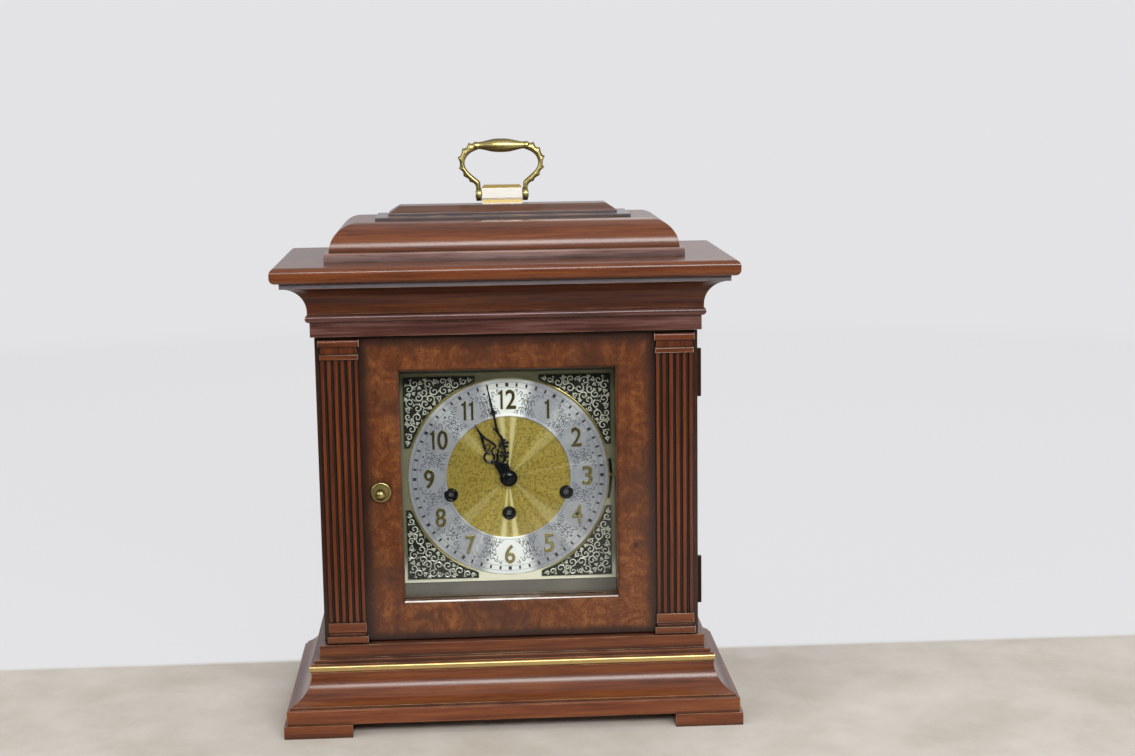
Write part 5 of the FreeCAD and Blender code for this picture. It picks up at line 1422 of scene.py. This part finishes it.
@dataclass
class CarryingHandle(Assembly):
    """The cast brass bail with its toothed loops, turned grip, block and fixings."""

    members: dict[str, Finish] = field(default_factory=lambda: {"handle_fixings": STEEL})
    middle_y: float = 17.55
    pivot_z: float = 361.5
    grip_z: float = 395.5
    grip: tuple[Point, ...] = (
        (0.0, 4.8), (3.0, 4.75), (6.5, 4.35), (10.0, 3.55), (13.0, 2.85), (15.5, 2.5), (17.2, 2.7),
        (18.6, 2.6), (19.6, 1.9),
    )
    inside: tuple[Point, ...] = (
        (15.5, 393.2), (18.2, 392.2), (21.4, 390.6), (24.0, 388.2), (25.5, 385.2), (25.7, 382.4),
        (24.7, 379.6), (22.4, 376.7), (19.5, 374.1), (16.7, 371.8), (15.2, 370.0), (15.0, 367.2),
        (15.0, 363.6),
    )
    outside: tuple[Point, ...] = (
        (15.5, 397.4), (19.2, 397.2), (23.2, 395.1), (26.6, 392.2), (28.7, 388.4), (29.2, 384.2),
        (28.7, 380.6), (26.8, 376.6), (23.6, 372.6), (20.4, 369.9), (18.8, 368.2), (18.2, 366.4),
        (18.2, 363.6),
    )
    section: tuple[Point, ...] = (
        (0.0, 0.7), (0.26, 1.65), (0.55, 2.1), (0.84, 1.3), (1.0, 0.45), (1.0, -0.45), (0.84, -1.3),
        (0.55, -2.1), (0.26, -1.65), (0.0, -0.7),
    )  # the loop's section: share of the way from inside to outside, and depth
    teeth: tuple[Point, ...] = (
        (1.75, 1.9), (2.95, 1.5), (4.45, 1.9), (6.25, 1.7), (7.45, 1.4), (8.6, 1.1)
    )  # place along the loop, in its points, and height
    tooth_half: float = 0.62  # half a tooth's base, in the same measure
    steps: int = 16  # steps between two of the loop's points
    eye: tuple[Point, ...] = (
        (14.35, 3.4), (14.4, 4.2), (14.8, 4.6), (17.8, 4.6), (18.15, 4.3), (18.2, 3.4)
    )  # x and radius of each point of an eye on a pivot
    block_rings: tuple[Place, ...] = (
        (354.9, 14.1, 6.0), (355.7, 14.1, 6.0), (358.0, 14.1, 5.2), (358.1, 13.8, 4.5), (358.8, 13.8, 4.5),
        (358.9, 14.1, 5.2), (366.0, 14.1, 5.2), (366.3, 13.8, 4.9), (367.9, 12.7, 3.3), (368.1, 12.3, 3.0),
    )  # height, half width and half depth of the block
    block_arris: float = 0.18

    def loop(self, side: int) -> None:
        """One ridged loop of the bail, with pointed teeth along its outer edge.

        Args:
            side: -1 for the left loop, 1 for the right.
        """
        inner = smooth_path(list(self.inside), self.steps)
        outer = smooth_path(list(self.outside), self.steps)
        points: list[Place] = []
        for i, (a, b) in enumerate(zip(inner, outer)):
            at = i / self.steps
            tooth = sum(
                height * max(0.0, 1 - abs(at - place) / self.tooth_half) ** 1.7
                for place, height in self.teeth
            )
            wide = math.hypot(b[0] - a[0], b[1] - a[1])
            for share, depth in self.section:
                reach = share
                if share == 1.0:
                    reach += tooth / wide
                elif share > 0.8:
                    reach += 0.35 * tooth / wide
                x = side * (a[0] + (b[0] - a[0]) * reach)
                points.append((x, self.middle_y + depth, a[1] + (b[1] - a[1]) * reach))
        count = len(self.section)
        faces = [face[::side] for face in tube_faces(len(inner), count)]
        faces.append(tuple(range(count))[::-side])
        faces.append(tuple(range(len(points) - count, len(points)))[::side])
        name = "bail_loop_left" if side < 0 else "bail_loop_right"
        make_piece(name, points, faces, "handle", BRASS, True)

    def turned_along(self, name: str, profile: list[Point], z: float, segments: int = 64) -> Piece:
        """A piece turned round an axis that runs left to right.

        Args:
            name: The piece's name.
            profile: The x and radius of each point.
            z: Height of the axis.
            segments: Steps round the axis.

        Returns:
            The new object.
        """
        points: list[Place] = [
            (x, *around((self.middle_y, z), radius, math.tau * i / segments))
            for x, radius in profile
            for i in range(segments)
        ]
        faces = tube_faces(len(profile), segments)
        faces.append(tuple(range(segments)))
        faces.append(tuple(range(len(points) - segments, len(points)))[::-1])
        return make_piece(name, points, faces, "handle", BRASS, True)

    def block(self) -> None:
        """The block that carries the bail: a moulded foot, a quirk, a flat body and a bevelled top."""
        corners = ((-1, -1), (1, -1), (1, 1), (-1, 1))
        points: list[Place] = []
        for z, half, deep in self.block_rings:
            points += [(sx * half, self.middle_y + sy * deep, z) for sx, sy in corners]
        faces = tube_faces(len(self.block_rings), len(corners))
        faces.append((3, 2, 1, 0))
        faces.append(tuple(len(points) - 4 + i for i in range(4)))
        piece = make_piece("handle_block_cast", points, faces, "case", BLOCK_BRASS)
        soft = piece.modifiers.new("softened_edges", "BEVEL")
        soft.width = self.block_arris / 1000
        soft.segments = 2
        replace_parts(piece, "handle_block")

    def dress(self) -> None:
        """Finishes the fixings, and builds the bail and its block."""
        super().dress()
        for side in (-1, 1):
            self.loop(side)
            profile = [(side * x, r) for x, r in self.eye]
            name = "bail_eye_left" if side < 0 else "bail_eye_right"
            self.turned_along(name, profile[::side], self.pivot_z, 40)
        line = smooth_path(list(self.grip), 5)
        whole = [(-x, r) for x, r in reversed(line[1:])] + line
        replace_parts(self.turned_along("bail_grip", whole, self.grip_z), "bail_handle")
        self.block()


ARBORS = tuple(f"{train}_winding_arbor" for train in ("going", "strike", "chime"))
BARRELS = tuple(f"{train}_barrel" for train in ("going", "strike", "chime"))
HAMMERS = tuple(f"chime_hammer_{i}" for i in range(1, 5))
WHEELS = tuple(f"{name}_wheel" for name in ("hour", "minute", "second", "third", "escape", "balance"))


@dataclass
class Movement(Assembly):
    """The brass and steel movement with its chime work."""

    steel: tuple[str, ...] = (
        "pallet_lever", *ARBORS, "plate_pillars", "movement_brackets", *HAMMERS, "chime_rods"
    )
    brass: tuple[str, ...] = (*WHEELS, "centre_arbor", *BARRELS, "movement_plates", "chime_drum")

    def __post_init__(self) -> None:
        """Gives each part its metal."""
        self.members = dict.fromkeys(self.steel, STEEL) | dict.fromkeys(self.brass, MOVEMENT_BRASS)


@dataclass
class Studio:
    """The plain floor, the soft lights and the camera."""

    camera_place: Place = (-27.4, -1269.2, 440.7)  # mm, as fitted to the photograph
    yaw: float = -3.19  # degrees, as the pitch and the roll
    pitch: float = -9.32
    roll: float = 0.80
    focal_pixels: float = 1822.14
    frame_width: float = 1135.0
    sensor: float = 36.0
    floor_half: float = 12.0  # metres, as all below
    lamp_aim: Place = (0.0, 0.0, 0.2)
    # place, width and height, watts and tint of each lamp
    lamps: dict[str, tuple[Place, Point, float, str]] = field(
        default_factory=lambda: {
            "strip_light": ((0.5, -2.1, 1.35), (1.9, 0.55), 54, "#ffffff"),
            "room_light": ((-1.9, -1.3, 1.2), (1.4, 1.4), 18, "#fffaf2"),
            "ceiling_light": ((0.1, -0.3, 2.4), (2.6, 2.6), 15, "#ffffff"),
            "back_light": ((0.7, 2.0, 1.5), (1.4, 1.0), 7, "#fffaf2"),
        }
    )
    sky: str = "#f4f4f6"
    sky_power: float = 0.38
    mirrored_wall: str = "#c4c4c8"  # how shiny faces see the wall

    def floor(self) -> None:
        """The pale floor, which isn't part of the clock."""
        half = self.floor_half
        mesh = bpy.data.meshes.new("floor")
        corners = [(-half, -half, 0), (half, -half, 0), (half, half, 0), (-half, half, 0)]
        mesh.from_pydata(corners, [], [(0, 1, 2, 3)])
        floor = bpy.data.objects.new("floor", mesh)
        bpy.context.scene.collection.objects.link(floor)
        mesh.materials.append(Workshop("workshop_floor").material())

    def lamp(self, name: str, place: Place, size: Point, power: float, tint: str) -> None:
        """Adds one soft oblong lamp that points at the clock.

        Args:
            name: The lamp's name.
            place: Where it stands, in metres.
            size: Its width and height in metres.
            power: Watts.
            tint: Its colour.
        """
        data = bpy.data.lights.new(name, "AREA")
        data.shape = "RECTANGLE"
        data.size, data.size_y = size
        data.energy = power
        data.color = linear(tint)[:3]
        lamp = bpy.data.objects.new(name, data)
        bpy.context.scene.collection.objects.link(lamp)
        lamp.location = place
        lamp.rotation_mode = "QUATERNION"
        lamp.rotation_quaternion = (Vector(self.lamp_aim) - Vector(place)).to_track_quat("-Z", "Y")

    def lights(self) -> None:
        """Soft lamps round the clock and an even sky."""
        for name, (place, size, power, tint) in self.lamps.items():
            self.lamp(name, place, size, power, tint)
        world = bpy.data.worlds.new("studio")
        bpy.context.scene.world = world
        world.use_nodes = True
        world.node_tree.nodes.clear()
        add = partial(add_node, world.node_tree)
        rays = add("LightPath")
        seen = add(
            "Math",
            MAXIMUM,
            links={0: rays.outputs["Is Camera Ray"], 1: rays.outputs["Is Transmission Ray"]},
        )
        # shiny faces show the pale wall behind the table and the darker room before it
        direction = add("TexCoord").outputs["Generated"]
        way = add("SeparateXYZ", links={0: direction})
        behind = add("MapRange", SMOOTH, dict(zip(RANGE, (0.0, 0.5))), {0: way.outputs[1]})
        beyond = add("Mix", COLOURS, {6: linear(ROOM), 7: linear(self.mirrored_wall)}, {0: behind})
        sky = add("Background", values={"Color": linear(self.sky), "Strength": self.sky_power})
        room = add("Background", links={"Color": beyond})
        wall = add("Background", values={"Color": linear(WALL), "Strength": 1.0})
        shiny = add("MixShader", links={0: rays.outputs["Is Glossy Ray"], 1: sky, 2: room})
        either = add("MixShader", links={0: seen, 1: shiny, 2: wall})
        add("OutputWorld", links={"Surface": either})

    def camera(self) -> None:
        """The camera at the photograph's viewing angle."""
        data = bpy.data.cameras.new("camera")
        data.sensor_width = self.sensor
        data.lens = self.focal_pixels / self.frame_width * self.sensor
        data.clip_start, data.clip_end = 0.01, 50.0
        camera = bpy.data.objects.new("camera", data)
        bpy.context.scene.collection.objects.link(camera)
        yaw = Matrix.Rotation(math.radians(self.yaw), 3, "Z")
        right, ahead, up = (yaw @ Matrix.Rotation(math.radians(self.pitch), 3, "X")).col
        c, s = math.cos(math.radians(self.roll)), math.sin(math.radians(self.roll))
        right_rolled, up_rolled = c * right - s * up, s * right + c * up
        axes = Matrix((right_rolled, up_rolled, -ahead)).transposed().to_4x4()
        camera.matrix_world = Matrix.Translation(Vector(self.camera_place) / 1000) @ axes
        bpy.context.scene.camera = camera


def main() -> None:
    """Builds the clock's pieces in order and sets the scene."""
    logging.basicConfig(level=logging.INFO, format="%(name)s %(message)s")
    studio = Studio()
    studio.camera()
    for assembly in (CaseWoodwork(), FrontDoor(), Dial(), Hands(), CarryingHandle(), Movement()):
        assembly.dress()
        log.info("%s done", type(assembly).__name__)
    studio.floor()
    studio.lights()
    bpy.context.scene.view_settings.view_transform = "Standard"


if __name__ == "__main__":
    main()
